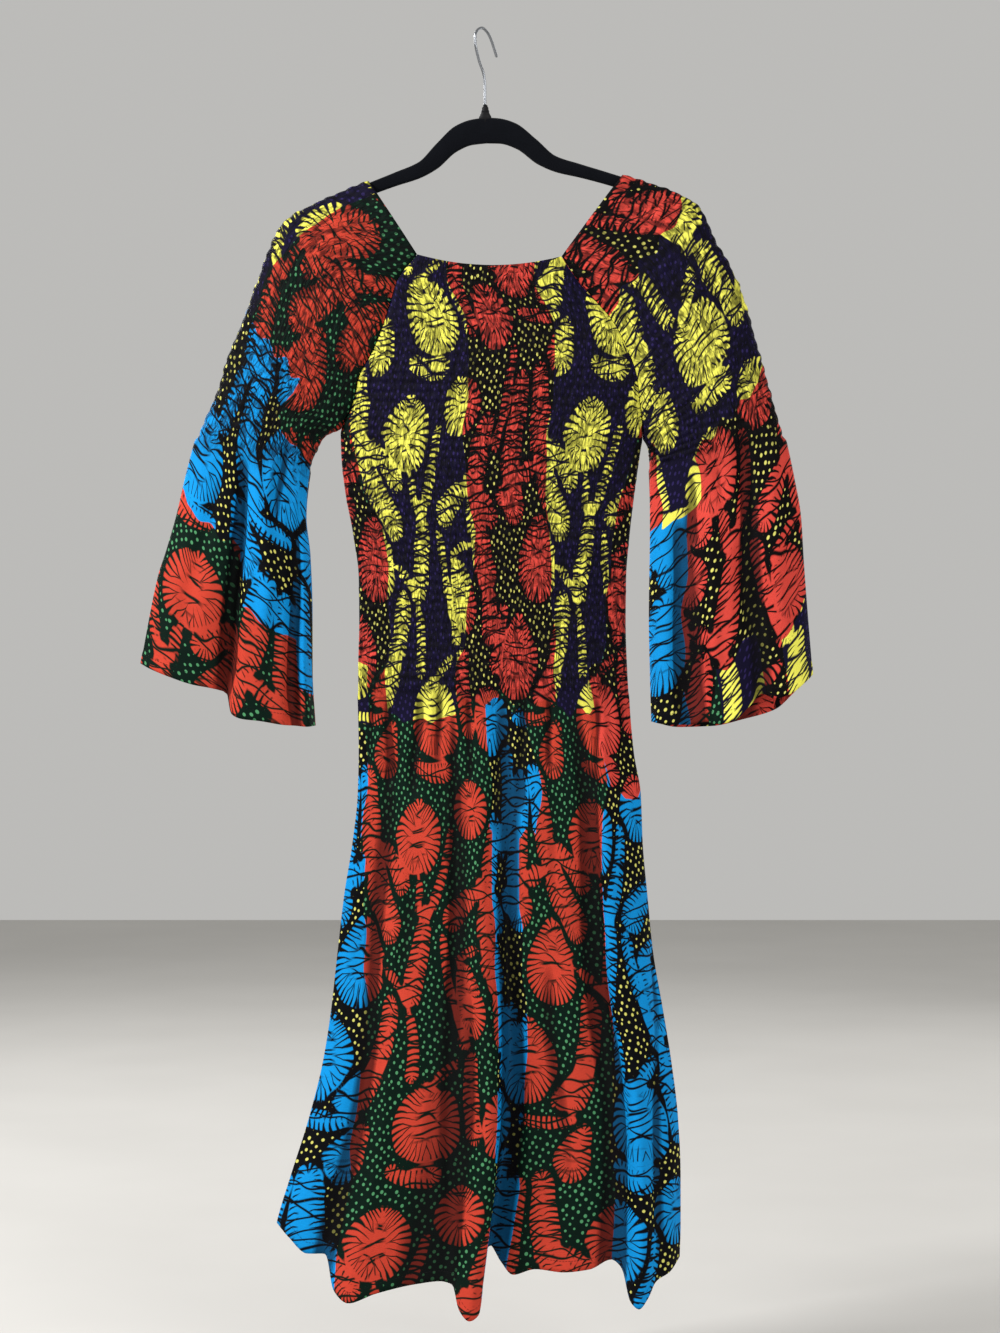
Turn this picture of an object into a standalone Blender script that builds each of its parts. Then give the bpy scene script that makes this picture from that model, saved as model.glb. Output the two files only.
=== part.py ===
"""A shirred dress with raglan bell sleeves, hanging on a flocked clothes hanger.

Metres, +Z up. The dress faces -Y and +X is the right-hand side seen from the front. The origin is the inside
of the hook's crown, where a rail holds it. The tables below are in millimetres: "drop" is the distance below
the origin, and "forward" is the distance from the hanger's plane, towards -Y on a front and +Y on a back.
"""

import math

import bmesh
import bpy
import numpy as np

MM = 0.001
WALL = 1.2  # thickness of the cloth
SEAM_GAP = 0.3  # between a front and a back
ARM_GAP = 0.75  # over the middle of the hanger's arm, which leaves 0.3 at its rounded shoulders
RAGLAN_SHIFT = 0.22  # how far a raglan edge stands back sideways, which leaves about SEAM_GAP across the seam
PUFF = 1.3  # how far the cloth stands out between two rows of elastic

YOKE_ROWS = 19  # rows of elastic from the neck to the underarm
WAIST_ROWS = 27  # rows of elastic from the underarm to the waist
UPPER_ARM_ROWS = 7  # rows of elastic on a sleeve below the underarm
HALF_ROWS = 2  # lines of points to each row of elastic: one in the groove, one on the crest
INSIDE_STEP = 8  # the plain inside keeps every eighth of those lines
BODY_COLUMNS = 8
SLEEVE_TURNS = (0, 9, 28, 50, 74, 98, 122, 148, 180)  # degrees round half a sleeve, close on the arm
SKIRT_ROWS = 10
BELL_ROWS = 6

WAIST_DROP = 660.0
NECK_DIP = 10.0  # how far the neck's edge hangs lower in the middle
NECK_DIP_ROWS = 8
SEAM_DEPTH = 14.0  # how far forward a raglan seam lies at the neck
FOLD_GROWTH = 0.8  # folds open as this power of the way down, so fast at first
FRONT_DIP = 1.0
BACK_DIP = 0.8

HANGER_APEX = (2.5, 88.0)  # x and drop
HANGER_TILT = math.radians(2.6)  # the left arm hangs lower
HANGER_THICKNESS = 5.6
HANGER_SIDES = 10
CURVED_STATIONS = 8  # how many rows of the hanger's table get another one halfway to the next
COLLAR_RADIUS = 2.0
COLLAR_BASE_RADIUS = 6.2
COLLAR_HEIGHT = 12.0
COLLAR_SUNK = 6.0
COLLAR_SIDES = 12
COLLAR_SQUASH = 0.4  # depth of the collar's foot as a share of its width
WIRE_RADIUS = 1.4
HOOK_POINTS = 30
NECK_ON_ARM = {"left": 119.0, "right": 134.0}  # from the hanger's middle to where the neck crosses its arm


def table(names, rows):
    """Named columns of a table, each as an array."""
    return dict(zip(names.split(), np.array(rows, float).T))


# The hanger's upper and lower edges, before it tilts: distance from its middle, and drops below its apex.
HANGER = table(
    "out top bottom",
    [
        (0, 0, 26),
        (14, 1.5, 27),
        (30, 7, 33),
        (50, 24, 49),
        (68.5, 41.5, 58),
        (92, 50.5, 64.5),
        (116, 59, 72),
        (150, 71.5, 84),
        (185, 85.5, 97.5),
        (198, 92.5, 104),
        (206, 99, 109),
        (211, 106, 111),
    ],
)

# The hook's wire, from the collar up round the crown to the free tip.
HOOK = table(
    "x forward drop",
    [
        (2.3, 0, 75.4),
        (2.3, 0, 58),
        (1.2, 0.6, 46),
        (-3.2, 5.0, 33.5),
        (-5.6, 8.6, 25),
        (-7.2, 10.9, 16.5),
        (-7.4, 11.2, 9.5),
        (-4.7, 7.2, 1.9),
        (0, 0, -1.4),
        (3.9, -6.0, 0.6),
        (7.3, -11.0, 5.2),
        (10.2, -15.5, 12),
        (13.7, -20.6, 22),
    ],
)

# The body's two sides: raglan seams down to the underarm, then side seams, and half the body's depth.
BODY = table(
    "drop left right depth",
    [
        (227, -65, 77, 17),
        (252, -84.5, 94, 18),
        (274, -91.5, 113, 19.5),
        (294, -98, 130, 21),
        (320, -108, 143.5, 22.5),
        (348, -123, 153.5, 23.5),
        (373, -129, 156.5, 24),
        (405, -142, 160, 24),
        (424, -141.5, 157.5, 24),
        (462, -137.5, 152, 23.5),
        (505, -129.5, 147, 22.5),
        (548, -124, 143.5, 21.5),
        (594, -123.5, 143, 21),
        (640, -124.5, 144.5, 21),
        (722, -124, 151, 22),
        (764, -125, 158, 23),
        (815, -130.5, 160, 24),
        (865, -138.5, 164.5, 25),
        (921, -145, 170, 26),
        (983, -152, 180.5, 27),
        (1033, -160, 188.5, 28),
        (1089, -174, 195, 29),
        (1146, -192, 197.5, 30),
        (1193, -206, 197.5, 30),
        (1227, -212, 196.5, 30),
    ],
)
UNDERARM_DROP = {"left": 400.0, "right": 410.0}
NECK_DROP = {"left": 227.0, "right": 229.0}

# The hems, seen from above: folds stand forward and hang lower, and the cloth lies back between them.
FRONT_HEM = table(
    "x forward drop",
    [
        (-206, 0, 1193),
        (-192, 13, 1206),
        (-175, 18, 1220),
        (-157, 15, 1221),
        (-147, 31, 1254),
        (-132, 42, 1264),
        (-105, 40, 1255),
        (-66, 34, 1247),
        (-42, 34, 1244),
        (-30, 40, 1246),
        (-23, 52, 1268),
        (-13, 58, 1278),
        (-3, 50, 1272),
        (2, 25, 1222),
        (8, 13, 1213),
        (18, 18, 1228),
        (30, 28, 1239),
        (52, 31, 1233),
        (80, 32, 1236),
        (106, 27, 1234),
        (128, 18, 1226),
        (138, 24, 1233),
        (146, 40, 1263),
        (154, 46, 1269),
        (163, 39, 1260),
        (171, 28, 1246),
        (186, 18, 1238),
        (197, 0, 1227),
    ],
)
BACK_HEM = table(
    "x forward drop",
    [
        (-206, 0, 1193),
        (-190, 12, 1205),
        (-160, 24, 1215),
        (-125, 35, 1230),
        (-92, 27, 1226),
        (-60, 19, 1217),
        (-28, 26, 1218),
        (4, 17, 1210),
        (34, 27, 1233),
        (62, 36, 1241),
        (92, 31, 1238),
        (120, 22, 1229),
        (150, 33, 1236),
        (176, 26, 1232),
        (197, 0, 1227),
    ],
)

# A sleeve's outline below the hanger's arm and below the underarm, from the top down to the cuff.
LEFT_OUTER = table(
    "x drop",
    [
        (-225, 253),
        (-238, 289),
        (-253, 325),
        (-264, 361),
        (-279, 396),
        (-294, 442),
        (-306, 488),
        (-317, 524),
        (-324, 545),
        (-342, 634),
    ],
)
LEFT_INNER = table(
    "x drop",
    [
        (-142, 400),
        (-157, 407),
        (-166, 422),
        (-172, 438),
        (-176, 487),
        (-172, 526),
        (-170, 583),
        (-170, 641),
        (-167, 696),
    ],
)
RIGHT_OUTER = table(
    "x drop",
    [
        (233, 214),
        (247, 237),
        (262, 274),
        (272, 310),
        (284.5, 355),
        (297.5, 401),
        (309.5, 447),
        (317.5, 488),
        (321, 536),
        (330, 645),
    ],
)
RIGHT_INNER = table(
    "x drop",
    [
        (160, 410),
        (164.5, 418),
        (166, 426),
        (166.5, 436),
        (167, 500),
        (166, 588),
        (167, 640),
        (168.5, 692),
    ],
)
ARM_DROP_AT_UNDERARM = 320.0  # drop of the sleeve's outer edge on the row that meets the underarm
ARM_DROP_AT_SHIRR_END = 406.0
INNER_SHIRR_POINTS = 4  # how many points of the inner tables lie beside the rows of elastic
SLEEVE = table("row depth", [(0, 17), (8, 21), (19, 22), (26, 20)])

# The cuffs, each from its outer corner to its inner one.
LEFT_FRONT_CUFF = table(
    "x forward drop",
    [
        (-342, 0, 634),
        (-332, 11, 639),
        (-312, 20, 647),
        (-288, 22, 655),
        (-268, 17, 659),
        (-256, 8, 663),
        (-249, 22, 684),
        (-238, 30, 689),
        (-220, 31, 691),
        (-197, 24, 695),
        (-186, 13, 696),
        (-175, 15, 697),
        (-167, 0, 696),
    ],
)
LEFT_BACK_CUFF = table(
    "x forward drop",
    [
        (-342, 0, 634),
        (-325, 15, 642),
        (-290, 24, 652),
        (-255, 17, 660),
        (-220, 26, 680),
        (-190, 20, 690),
        (-167, 0, 696),
    ],
)
RIGHT_FRONT_CUFF = table(
    "x forward drop",
    [
        (330, 0, 645),
        (322, 12, 652),
        (304, 22, 665),
        (290, 20, 669),
        (278, 16, 664),
        (264, 24, 677),
        (248, 31, 691),
        (232, 30, 694),
        (222, 18, 692),
        (206, 9, 695),
        (188, 15, 695),
        (177, 12, 694),
        (168.5, 0, 692),
    ],
)
RIGHT_BACK_CUFF = table(
    "x forward drop",
    [
        (330, 0, 645),
        (314, 14, 662),
        (295, 22, 680),
        (262, 17, 690),
        (232, 26, 697),
        (198, 20, 698),
        (168.5, 0, 692),
    ],
)

# Node, its base colour, roughness and metallic value.
FINISHES = {
    "dress_front": ((0.60, 0.09, 0.04), 0.75, 0.0),
    "dress_back": ((0.52, 0.08, 0.04), 0.75, 0.0),
    "sleeve_left": ((0.02, 0.30, 0.62), 0.75, 0.0),
    "sleeve_right": ((0.58, 0.50, 0.04), 0.75, 0.0),
    "hanger_body": ((0.012, 0.013, 0.018), 0.9, 0.0),
    "hanger_hook": ((0.72, 0.73, 0.75), 0.22, 1.0),
}


def smooth(knots, values, at):
    """A curve through the values that never overshoots: it is level at each high and low one."""
    knots = np.asarray(knots, float)
    values = np.asarray(values, float)
    span = np.diff(knots)
    slope = np.diff(values) / span
    before = slope[:-1]
    after = slope[1:]
    agree = before * after > 0
    total = np.where(agree, before + after, 1.0)
    tangent = np.concatenate([slope[:1], np.where(agree, 2 * before * after / total, 0.0), slope[-1:]])
    i = np.clip(np.searchsorted(knots, at, side="right") - 1, 0, len(span) - 1)
    t = (at - knots[i]) / span[i]
    return (
        (1 + 2 * t) * (1 - t) ** 2 * values[i]
        + t * (1 - t) ** 2 * span[i] * tangent[i]
        + t * t * (3 - 2 * t) * values[i + 1]
        - t * t * (1 - t) * span[i] * tangent[i + 1]
    )


def lengths(*columns):
    """Distance travelled along a line of points, at each point."""
    steps = np.sqrt(sum(np.diff(column) ** 2 for column in columns))
    return np.concatenate([[0.0], np.cumsum(steps)])


def oval_places(turns):
    """Places from 0 to 1 across an oval, for turns in degrees from one end of it to the other."""
    return (1 - np.cos(np.radians(turns))) / 2


def body_row(row, across, dipped):
    """x, forward and drop across one row of elastic, from the left side to the right."""
    yoke = min(row / YOKE_ROWS, 1.0)
    below = max(row - YOKE_ROWS, 0) / WAIST_ROWS
    drop = {}
    for side in ("left", "right"):
        at_underarm = NECK_DROP[side] + (UNDERARM_DROP[side] - NECK_DROP[side]) * yoke
        drop[side] = at_underarm + (WAIST_DROP - UNDERARM_DROP[side]) * below
    left = float(smooth(BODY["drop"], BODY["left"], drop["left"]))
    right = float(smooth(BODY["drop"], BODY["right"], drop["right"]))
    depth = float(smooth(BODY["drop"], BODY["depth"], drop["left"]))
    if row < YOKE_ROWS:
        left += RAGLAN_SHIFT
        right -= RAGLAN_SHIFT
    reach = (right - left) / 2 / math.sqrt(1 - (seam_depth(row) / depth) ** 2)
    x = left + (right - left) * across
    forward = depth * np.sqrt(np.maximum(1 - ((x - (left + right) / 2) / reach) ** 2, 0))
    dip = NECK_DIP * max(1 - row / NECK_DIP_ROWS, 0) * 4 * across * (1 - across)
    hang = drop["left"] + (drop["right"] - drop["left"]) * across + dip * dipped
    return x, forward, hang


def seam_depth(row):
    """How far forward the raglan seam lies where a row of elastic ends on it."""
    return SEAM_DEPTH * math.sqrt(max(1 - (row / YOKE_ROWS) ** 3, 0))


def seam_point(side, row):
    """x and drop of the raglan seam where a row of elastic ends on it."""
    drop = NECK_DROP[side] + (UNDERARM_DROP[side] - NECK_DROP[side]) * row / YOKE_ROWS
    return float(smooth(BODY["drop"], BODY[side], drop)), drop


def flare(top, hem, first_edge, last_edge, across, rows):
    """Rows of points (x, forward, drop) from a top row to a hem, between two edges of given shape."""
    grid = []
    for t in np.linspace(0, 1, rows + 1):
        point = []
        for axis, edges in ((0, 0), (2, 1)):
            first = first_edge[edges](t) - (1 - t) * first_edge[edges](0.0) - t * first_edge[edges](1.0)
            last = last_edge[edges](t) - (1 - t) * last_edge[edges](0.0) - t * last_edge[edges](1.0)
            ruled = (1 - t) * top[axis] + t * hem[axis]
            point.append(ruled + (1 - across) * first + across * last)
        growth = t**FOLD_GROWTH
        forward = (1 - growth) * top[1] + growth * hem[1]
        grid.append((point[0], forward, point[1]))
    return grid


def hem_points(hem, between):
    """Places along a hem, as fractions of its length, and its x, forward and drop there."""
    along = lengths(hem["x"], hem["forward"])
    stations = np.interp(
        np.arange((len(along) - 1) * between + 1) / between,
        np.arange(len(along)),
        along,
    )
    curve = [smooth(along, hem[name], stations) for name in ("x", "forward", "drop")]
    return stations / along[-1], curve


def side_line(side, hem_drop):
    """The side seam below the waist, as functions of the fraction of the way down."""

    def drop(t):
        return WAIST_DROP + (hem_drop - WAIST_DROP) * t

    return (lambda t: smooth(BODY["drop"], BODY[side], drop(t)), drop)


def hanger_point(side, out, drop):
    """x and drop of a point of the hanger once it tilts."""
    sign = {"left": -1, "right": 1}[side]
    x = HANGER_APEX[0] + sign * out * math.cos(HANGER_TILT) + drop * math.sin(HANGER_TILT)
    return x, HANGER_APEX[1] - sign * out * math.sin(HANGER_TILT) + drop * math.cos(HANGER_TILT)


def hanger_stations():
    """Distances from the hanger's middle at which its outline turns."""
    out = HANGER["out"]
    halfway = (out[1 : CURVED_STATIONS + 1] + out[:CURVED_STATIONS]) / 2
    return np.sort(np.concatenate([out, halfway]))


def outer_edge(side, outer):
    """The sleeve's outer edge: over the hanger's arm, then down to the cuff, as distance, x and drop."""
    stations = hanger_stations()
    out = np.concatenate([[NECK_ON_ARM[side]], stations[stations > NECK_ON_ARM[side]]])
    top = smooth(HANGER["out"], HANGER["top"], out)
    slope = np.gradient(top, out)
    clear = WALL + ARM_GAP
    out = out + clear * slope / np.hypot(1, slope)
    top = top - clear / np.hypot(1, slope)
    arm = np.array([hanger_point(side, *pair) for pair in zip(out, top)])
    x = np.concatenate([arm[:, 0], outer["x"]])
    drop = np.concatenate([arm[:, 1], outer["drop"]])
    return lengths(x, drop), x, drop


class SleeveLines:
    """Where the rows of one sleeve begin on its outer edge and end on its seam or inner edge."""

    def __init__(self, side, outer, inner):
        self.side = side
        self.inner = inner
        self.distance, self.x, self.drop = outer_edge(side, outer)
        self.inner_distance = lengths(inner["x"], inner["drop"])
        marks = (ARM_DROP_AT_UNDERARM, ARM_DROP_AT_SHIRR_END)
        self.marks = [float(np.interp(mark, self.drop, self.distance)) for mark in marks]

    def outer_at(self, distance):
        return smooth(self.distance, self.x, distance), smooth(self.distance, self.drop, distance)

    def inner_at(self, distance):
        return (
            smooth(self.inner_distance, self.inner["x"], distance),
            smooth(self.inner_distance, self.inner["drop"], distance),
        )

    def row(self, row, across, depth):
        """x, forward and drop across one row of elastic, from the outer edge to the inner one."""
        knots = [0, YOKE_ROWS, YOKE_ROWS + UPPER_ARM_ROWS]
        start = self.outer_at(np.interp(row, knots, [0.0] + self.marks))
        away = -RAGLAN_SHIFT if self.side == "left" else RAGLAN_SHIFT
        if row < YOKE_ROWS:
            end = seam_point(self.side, row)
        else:
            shirred = self.inner_distance[INNER_SHIRR_POINTS - 1]
            end = self.inner_at(shirred * (row - YOKE_ROWS) / UPPER_ARM_ROWS)
        turn = math.pi - math.asin(seam_depth(row) / depth)
        cosine = 1 - across * (1 - math.cos(turn))
        forward = depth * np.sqrt(np.maximum(1 - cosine**2, 0))
        x = start[0] + (end[0] + away - start[0]) * across
        return x, forward, start[1] + (end[1] - start[1]) * across

    def edges(self):
        """The outer and inner edges below the shirring, as functions of the fraction of the way down."""
        first = (self.marks[1], self.distance[-1])
        second = (self.inner_distance[INNER_SHIRR_POINTS - 1], self.inner_distance[-1])

        def line(at, span, axis):
            return lambda t: at(span[0] + (span[1] - span[0]) * t)[axis]

        return (
            (line(self.outer_at, first, 0), line(self.outer_at, first, 1)),
            (line(self.inner_at, second, 0), line(self.inner_at, second, 1)),
        )


def world(line, facing, apart=0.0):
    """Points in millimetres in the frame. facing is -1 on a front and 1 on a back."""
    x, forward, drop = line
    return np.stack(np.broadcast_arrays(x, facing * (forward + apart), -drop), axis=-1)


def outward(grid, welded_from=None):
    """Unit normals of a grid of points whose rows run down and whose columns run round the body."""
    down = np.gradient(grid, axis=0)
    round_body = np.gradient(grid, axis=1)
    if welded_from is not None:
        closed = grid[welded_from:, 1] - grid[welded_from:, -2]
        round_body[welded_from:, 0] = closed
        round_body[welded_from:, -1] = closed
    normal = np.cross(down, round_body)
    return normal / np.linalg.norm(normal, axis=2, keepdims=True)


class Skin:
    """The vertices and faces of one cloth wall while it is built."""

    def __init__(self):
        self.points = []
        self.faces = []

    def add(self, grid, welded_from=None):
        """Vertices for a grid, and their numbers. From row welded_from on, the last column is the first."""
        numbers = np.zeros(grid.shape[:2], int)
        for i, line in enumerate(grid):
            for j, point in enumerate(line):
                if welded_from is not None and i >= welded_from and j == grid.shape[1] - 1:
                    numbers[i, j] = numbers[i, 0]
                    continue
                numbers[i, j] = len(self.points)
                self.points.append(point)
        return numbers

    def stitch(self, first, second, first_at=None, second_at=None):
        """Fill the strip between two chains of vertices, whose places along it may differ."""
        if len(first) == len(second):
            for i in range(len(first) - 1):
                self.faces.append((first[i], second[i], second[i + 1], first[i + 1]))
            return
        i = j = 0
        while i < len(first) - 1 or j < len(second) - 1:
            step_second = i == len(first) - 1
            if not step_second and j < len(second) - 1:
                step_second = second_at[j] + second_at[j + 1] <= first_at[i] + first_at[i + 1]
            if step_second:
                self.faces.append((first[i], second[j], second[j + 1]))
                j += 1
            else:
                self.faces.append((first[i], second[j], first[i + 1]))
                i += 1

    def sheet(self, numbers, inside=False):
        """Faces over a whole grid of vertices."""
        for upper, lower in zip(numbers[:-1], numbers[1:]):
            self.stitch(*((lower, upper) if inside else (upper, lower)))

    def plain_inside(self, numbers, fine_columns):
        """Faces inside the shirring: only the fine columns keep every row."""
        rows = np.arange(len(numbers))
        coarse = rows[(rows % INSIDE_STEP == 0) | (rows == rows[-1])]
        chosen = [rows if column in fine_columns else coarse for column in range(numbers.shape[1])]
        for column in range(numbers.shape[1] - 1):
            first = chosen[column]
            second = chosen[column + 1]
            self.stitch(numbers[first, column], numbers[second, column + 1], first, second)

    def object(self, name):
        """A Blender object of the faces, without the vertices that none of them uses."""
        mesh = bpy.data.meshes.new(name)
        used = {number for face in self.faces for number in face}
        shape = bmesh.new()
        vertex = {number: shape.verts.new(self.points[number] * MM) for number in sorted(used)}
        for face in self.faces:
            distinct = [n for i, n in enumerate(face) if n != face[i - 1]]
            if len(distinct) > 2:
                shape.faces.new([vertex[number] for number in distinct])
        bmesh.ops.recalc_face_normals(shape, faces=shape.faces)
        shape.to_mesh(mesh)
        shape.free()
        return finished(name, mesh)


def cloth_piece(name, shirred, flared, raised, fine_columns, welded_from=None, flat_sides=False):
    """One cloth wall from its shirred grid and its flared grid below, with a rim along every cut edge."""
    skin = Skin()
    normal = outward(shirred, welded_from)
    flared_normal = outward(flared, None if welded_from is None else 0)
    if flat_sides:
        for normals, start in ((normal, YOKE_ROWS * HALF_ROWS), (flared_normal, 0)):
            for column in (0, -1):
                normals[start:, column, 1] = 0
                normals[start:, column] /= np.linalg.norm(normals[start:, column], axis=1, keepdims=True)
    # The last row of the shirring is the first one of the flare, so only the flare keeps it.
    outside = skin.add((shirred + normal * raised[..., None])[:-1], welded_from)
    inside = skin.add(shirred - normal * WALL, welded_from)
    flare_weld = None if welded_from is None else 0
    flared_outside = skin.add(flared, flare_weld)
    flared_inside = skin.add(flared - flared_normal * WALL, flare_weld)
    skin.sheet(outside)
    skin.plain_inside(inside[:-1], fine_columns)
    skin.sheet(flared_outside)
    skin.sheet(flared_inside, inside=True)
    upper_at = chain_places(shirred[-2])
    lower_at = chain_places(flared[0])
    skin.stitch(outside[-1], flared_outside[0], upper_at, lower_at)
    skin.stitch(flared_inside[0], inside[-2], lower_at, upper_at)
    skin.stitch(inside[0], outside[0])
    skin.stitch(flared_outside[-1], flared_inside[-1])
    rows = len(outside) if welded_from is None else welded_from + 1
    skin.stitch(outside[:rows, 0], inside[:rows, 0])
    skin.stitch(inside[:rows, -1], outside[:rows, -1])
    if welded_from is None:
        for column, order in ((0, 1), (-1, -1)):
            outer = [outside[-1, column], *flared_outside[:, column]]
            inner = [inside[-2, column], *flared_inside[:, column]]
            skin.stitch(*(outer, inner)[::order])
    return skin.object(name)


def chain_places(points):
    """Fractions of the distance along a line of points."""
    along = lengths(*points.T)
    return along / along[-1]


def ridges(rows, columns, flat_columns):
    """How far each point of a shirred grid is raised: on every other row, and not beside a seam."""
    raised = np.zeros((rows, columns))
    raised[1::HALF_ROWS] = PUFF
    raised[:, flat_columns] = 0
    return raised


def body_panel(name, hem, facing, dipped):
    """The front or the back of the dress."""
    across = oval_places(np.linspace(0, 180, BODY_COLUMNS + 1))
    rows = np.arange((YOKE_ROWS + WAIST_ROWS) * HALF_ROWS + 1) / HALF_ROWS
    apart = SEAM_GAP / 2
    shirred = np.array([world(body_row(row, across, dipped), facing, apart) for row in rows])
    hem_across, hem_curve = hem_points(hem, between=2)
    top = body_row(rows[-1], hem_across, dipped)
    left = side_line("left", hem["drop"][0])
    right = side_line("right", hem["drop"][-1])
    grid = flare(top, hem_curve, left, right, hem_across, SKIRT_ROWS)
    flared = np.array([world(line, facing, apart) for line in grid])
    if facing > 0:
        shirred = shirred[:, ::-1]
        flared = flared[:, ::-1]
    raised = ridges(*shirred.shape[:2], [0, -1])
    ends = {0, BODY_COLUMNS}
    return cloth_piece(name, shirred, flared, raised, ends, flat_sides=True)


def sleeve(name, side, outer, inner, cuffs):
    """One raglan sleeve: an open band above the underarm, and a tube below it."""
    lines = SleeveLines(side, outer, inner)
    across = oval_places(SLEEVE_TURNS)
    rows = np.arange((YOKE_ROWS + UPPER_ARM_ROWS) * HALF_ROWS + 1) / HALF_ROWS
    halves = []
    depths = [float(smooth(SLEEVE["row"], SLEEVE["depth"], row)) for row in rows]
    for facing, cuff in zip((-1, 1), cuffs):
        shirred = np.array([world(lines.row(row, across, depth), facing) for row, depth in zip(rows, depths)])
        cuff_across, cuff_curve = hem_points(cuff, between=1)
        top = lines.row(rows[-1], cuff_across, depths[-1])
        grid = flare(top, cuff_curve, *lines.edges(), cuff_across, BELL_ROWS)
        halves.append((shirred, np.array([world(line, facing) for line in grid])))
    shirred, flared = (
        np.concatenate([front[:, ::-1], back[:, 1:]], axis=1) for front, back in zip(*halves)
    )
    if side == "left":
        shirred = shirred[:, ::-1]
        flared = flared[:, ::-1]
    raised = ridges(*shirred.shape[:2], [0, -1])
    crest = len(SLEEVE_TURNS) - 1
    fine = {0, crest - 1, crest, crest + 1, 2 * crest}
    return cloth_piece(name, shirred, flared, raised, fine, welded_from=YOKE_ROWS * HALF_ROWS)


def hanger_body():
    """The flocked hanger: an oval bar lofted from tip to tip, with the collar that holds the wire."""
    turn = np.linspace(0, 2 * math.pi, HANGER_SIDES, endpoint=False)
    outs = hanger_stations()
    tops = smooth(HANGER["out"], HANGER["top"], outs)
    bottoms = smooth(HANGER["out"], HANGER["bottom"], outs)
    rings = []
    for side, indices in (("left", range(len(outs) - 1, 0, -1)), ("right", range(len(outs)))):
        for i in indices:
            half = (bottoms[i] - tops[i]) / 2
            thick = min(HANGER_THICKNESS / 2, half)
            straight = (half - thick) * np.sign(np.round(np.cos(turn), 6))
            drop = tops[i] + half - thick * np.cos(turn) - straight
            x, hang = hanger_point(side, outs[i], drop)
            rings.append(np.stack(np.broadcast_arrays(x, thick * np.sin(turn), -hang), axis=-1))
    shape = bmesh.new()
    loops = [[shape.verts.new(point * MM) for point in ring] for ring in rings]
    for first, second in zip(loops, loops[1:]):
        for i in range(HANGER_SIDES):
            shape.faces.new((first[i - 1], first[i], second[i], second[i - 1]))
    shape.faces.new(loops[0])
    shape.faces.new(loops[-1][::-1])
    bmesh.ops.recalc_face_normals(shape, faces=shape.faces)
    mesh = bpy.data.meshes.new("hanger_body")
    shape.to_mesh(mesh)
    shape.free()
    bar = finished("hanger_body", mesh)
    union = bar.modifiers.new("collar", "BOOLEAN")
    union.operation = "UNION"
    union.object = collar()
    return bar


def collar():
    """A cone on the hanger's apex, which the hanger's mesh takes up."""
    shape = bmesh.new()
    bmesh.ops.create_cone(
        shape,
        cap_ends=True,
        segments=COLLAR_SIDES,
        radius1=COLLAR_BASE_RADIUS * MM,
        radius2=COLLAR_RADIUS * MM,
        depth=(COLLAR_HEIGHT + COLLAR_SUNK) * MM,
    )
    middle_drop = HANGER_APEX[1] - (COLLAR_HEIGHT - COLLAR_SUNK) / 2
    bmesh.ops.translate(shape, verts=shape.verts, vec=(HANGER_APEX[0] * MM, 0, -middle_drop * MM))
    for vertex in shape.verts:
        if vertex.co.z < -HANGER_APEX[1] * MM:
            vertex.co.y *= COLLAR_SQUASH
    mesh = bpy.data.meshes.new("collar")
    shape.to_mesh(mesh)
    shape.free()
    cone = bpy.data.objects.new("collar", mesh)
    bpy.context.scene.collection.objects.link(cone)
    cone.hide_render = True
    cone.display_type = "WIRE"
    return cone


def hanger_hook():
    """The wire hook, which stops just above the collar."""
    along = lengths(HOOK["x"], HOOK["forward"], HOOK["drop"])
    places = np.linspace(0, along[-1], HOOK_POINTS)
    x, forward, drop = (smooth(along, HOOK[name], places) for name in ("x", "forward", "drop"))
    curve = bpy.data.curves.new("hanger_hook", "CURVE")
    curve.dimensions = "3D"
    curve.bevel_depth = WIRE_RADIUS * MM
    curve.bevel_resolution = 2
    curve.use_fill_caps = True
    wire = curve.splines.new("POLY")
    wire.points.add(len(places) - 1)
    for point, place in zip(wire.points, zip(x, -forward, -drop)):
        point.co = (*(value * MM for value in place), 1)
    return finished("hanger_hook", curve)


def finished(name, data):
    """An object in the scene, with its own material."""
    colour, roughness, metallic = FINISHES[name]
    material = bpy.data.materials.new(name)
    material.use_nodes = True
    shader = material.node_tree.nodes["Principled BSDF"]
    shader.inputs["Base Color"].default_value = (*colour, 1)
    shader.inputs["Roughness"].default_value = roughness
    shader.inputs["Metallic"].default_value = metallic
    data.materials.append(material)
    made = bpy.data.objects.new(name, data)
    bpy.context.scene.collection.objects.link(made)
    return made


def main():
    for old in list(bpy.data.objects):
        bpy.data.objects.remove(old, do_unlink=True)
    body_panel("dress_front", FRONT_HEM, -1, FRONT_DIP)
    body_panel("dress_back", BACK_HEM, 1, BACK_DIP)
    sleeve("sleeve_left", "left", LEFT_OUTER, LEFT_INNER, (LEFT_FRONT_CUFF, LEFT_BACK_CUFF))
    sleeve("sleeve_right", "right", RIGHT_OUTER, RIGHT_INNER, (RIGHT_FRONT_CUFF, RIGHT_BACK_CUFF))
    hanger_body()
    hanger_hook()


main()
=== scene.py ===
"""The look of a shirred wax-print dress with raglan bell sleeves, on a flocked clothes hanger.

Forms are worked out in millimetres and turned into metres when a mesh is made. "drop" is the distance below
the hook's crown, and "forward" the distance from the hanger's plane, towards -Y on a front and +Y on a back.
"row" counts rows of elastic from the neck down, and "across" is the share of a cloth's width, from 0 to 1.
"""

import math

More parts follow.
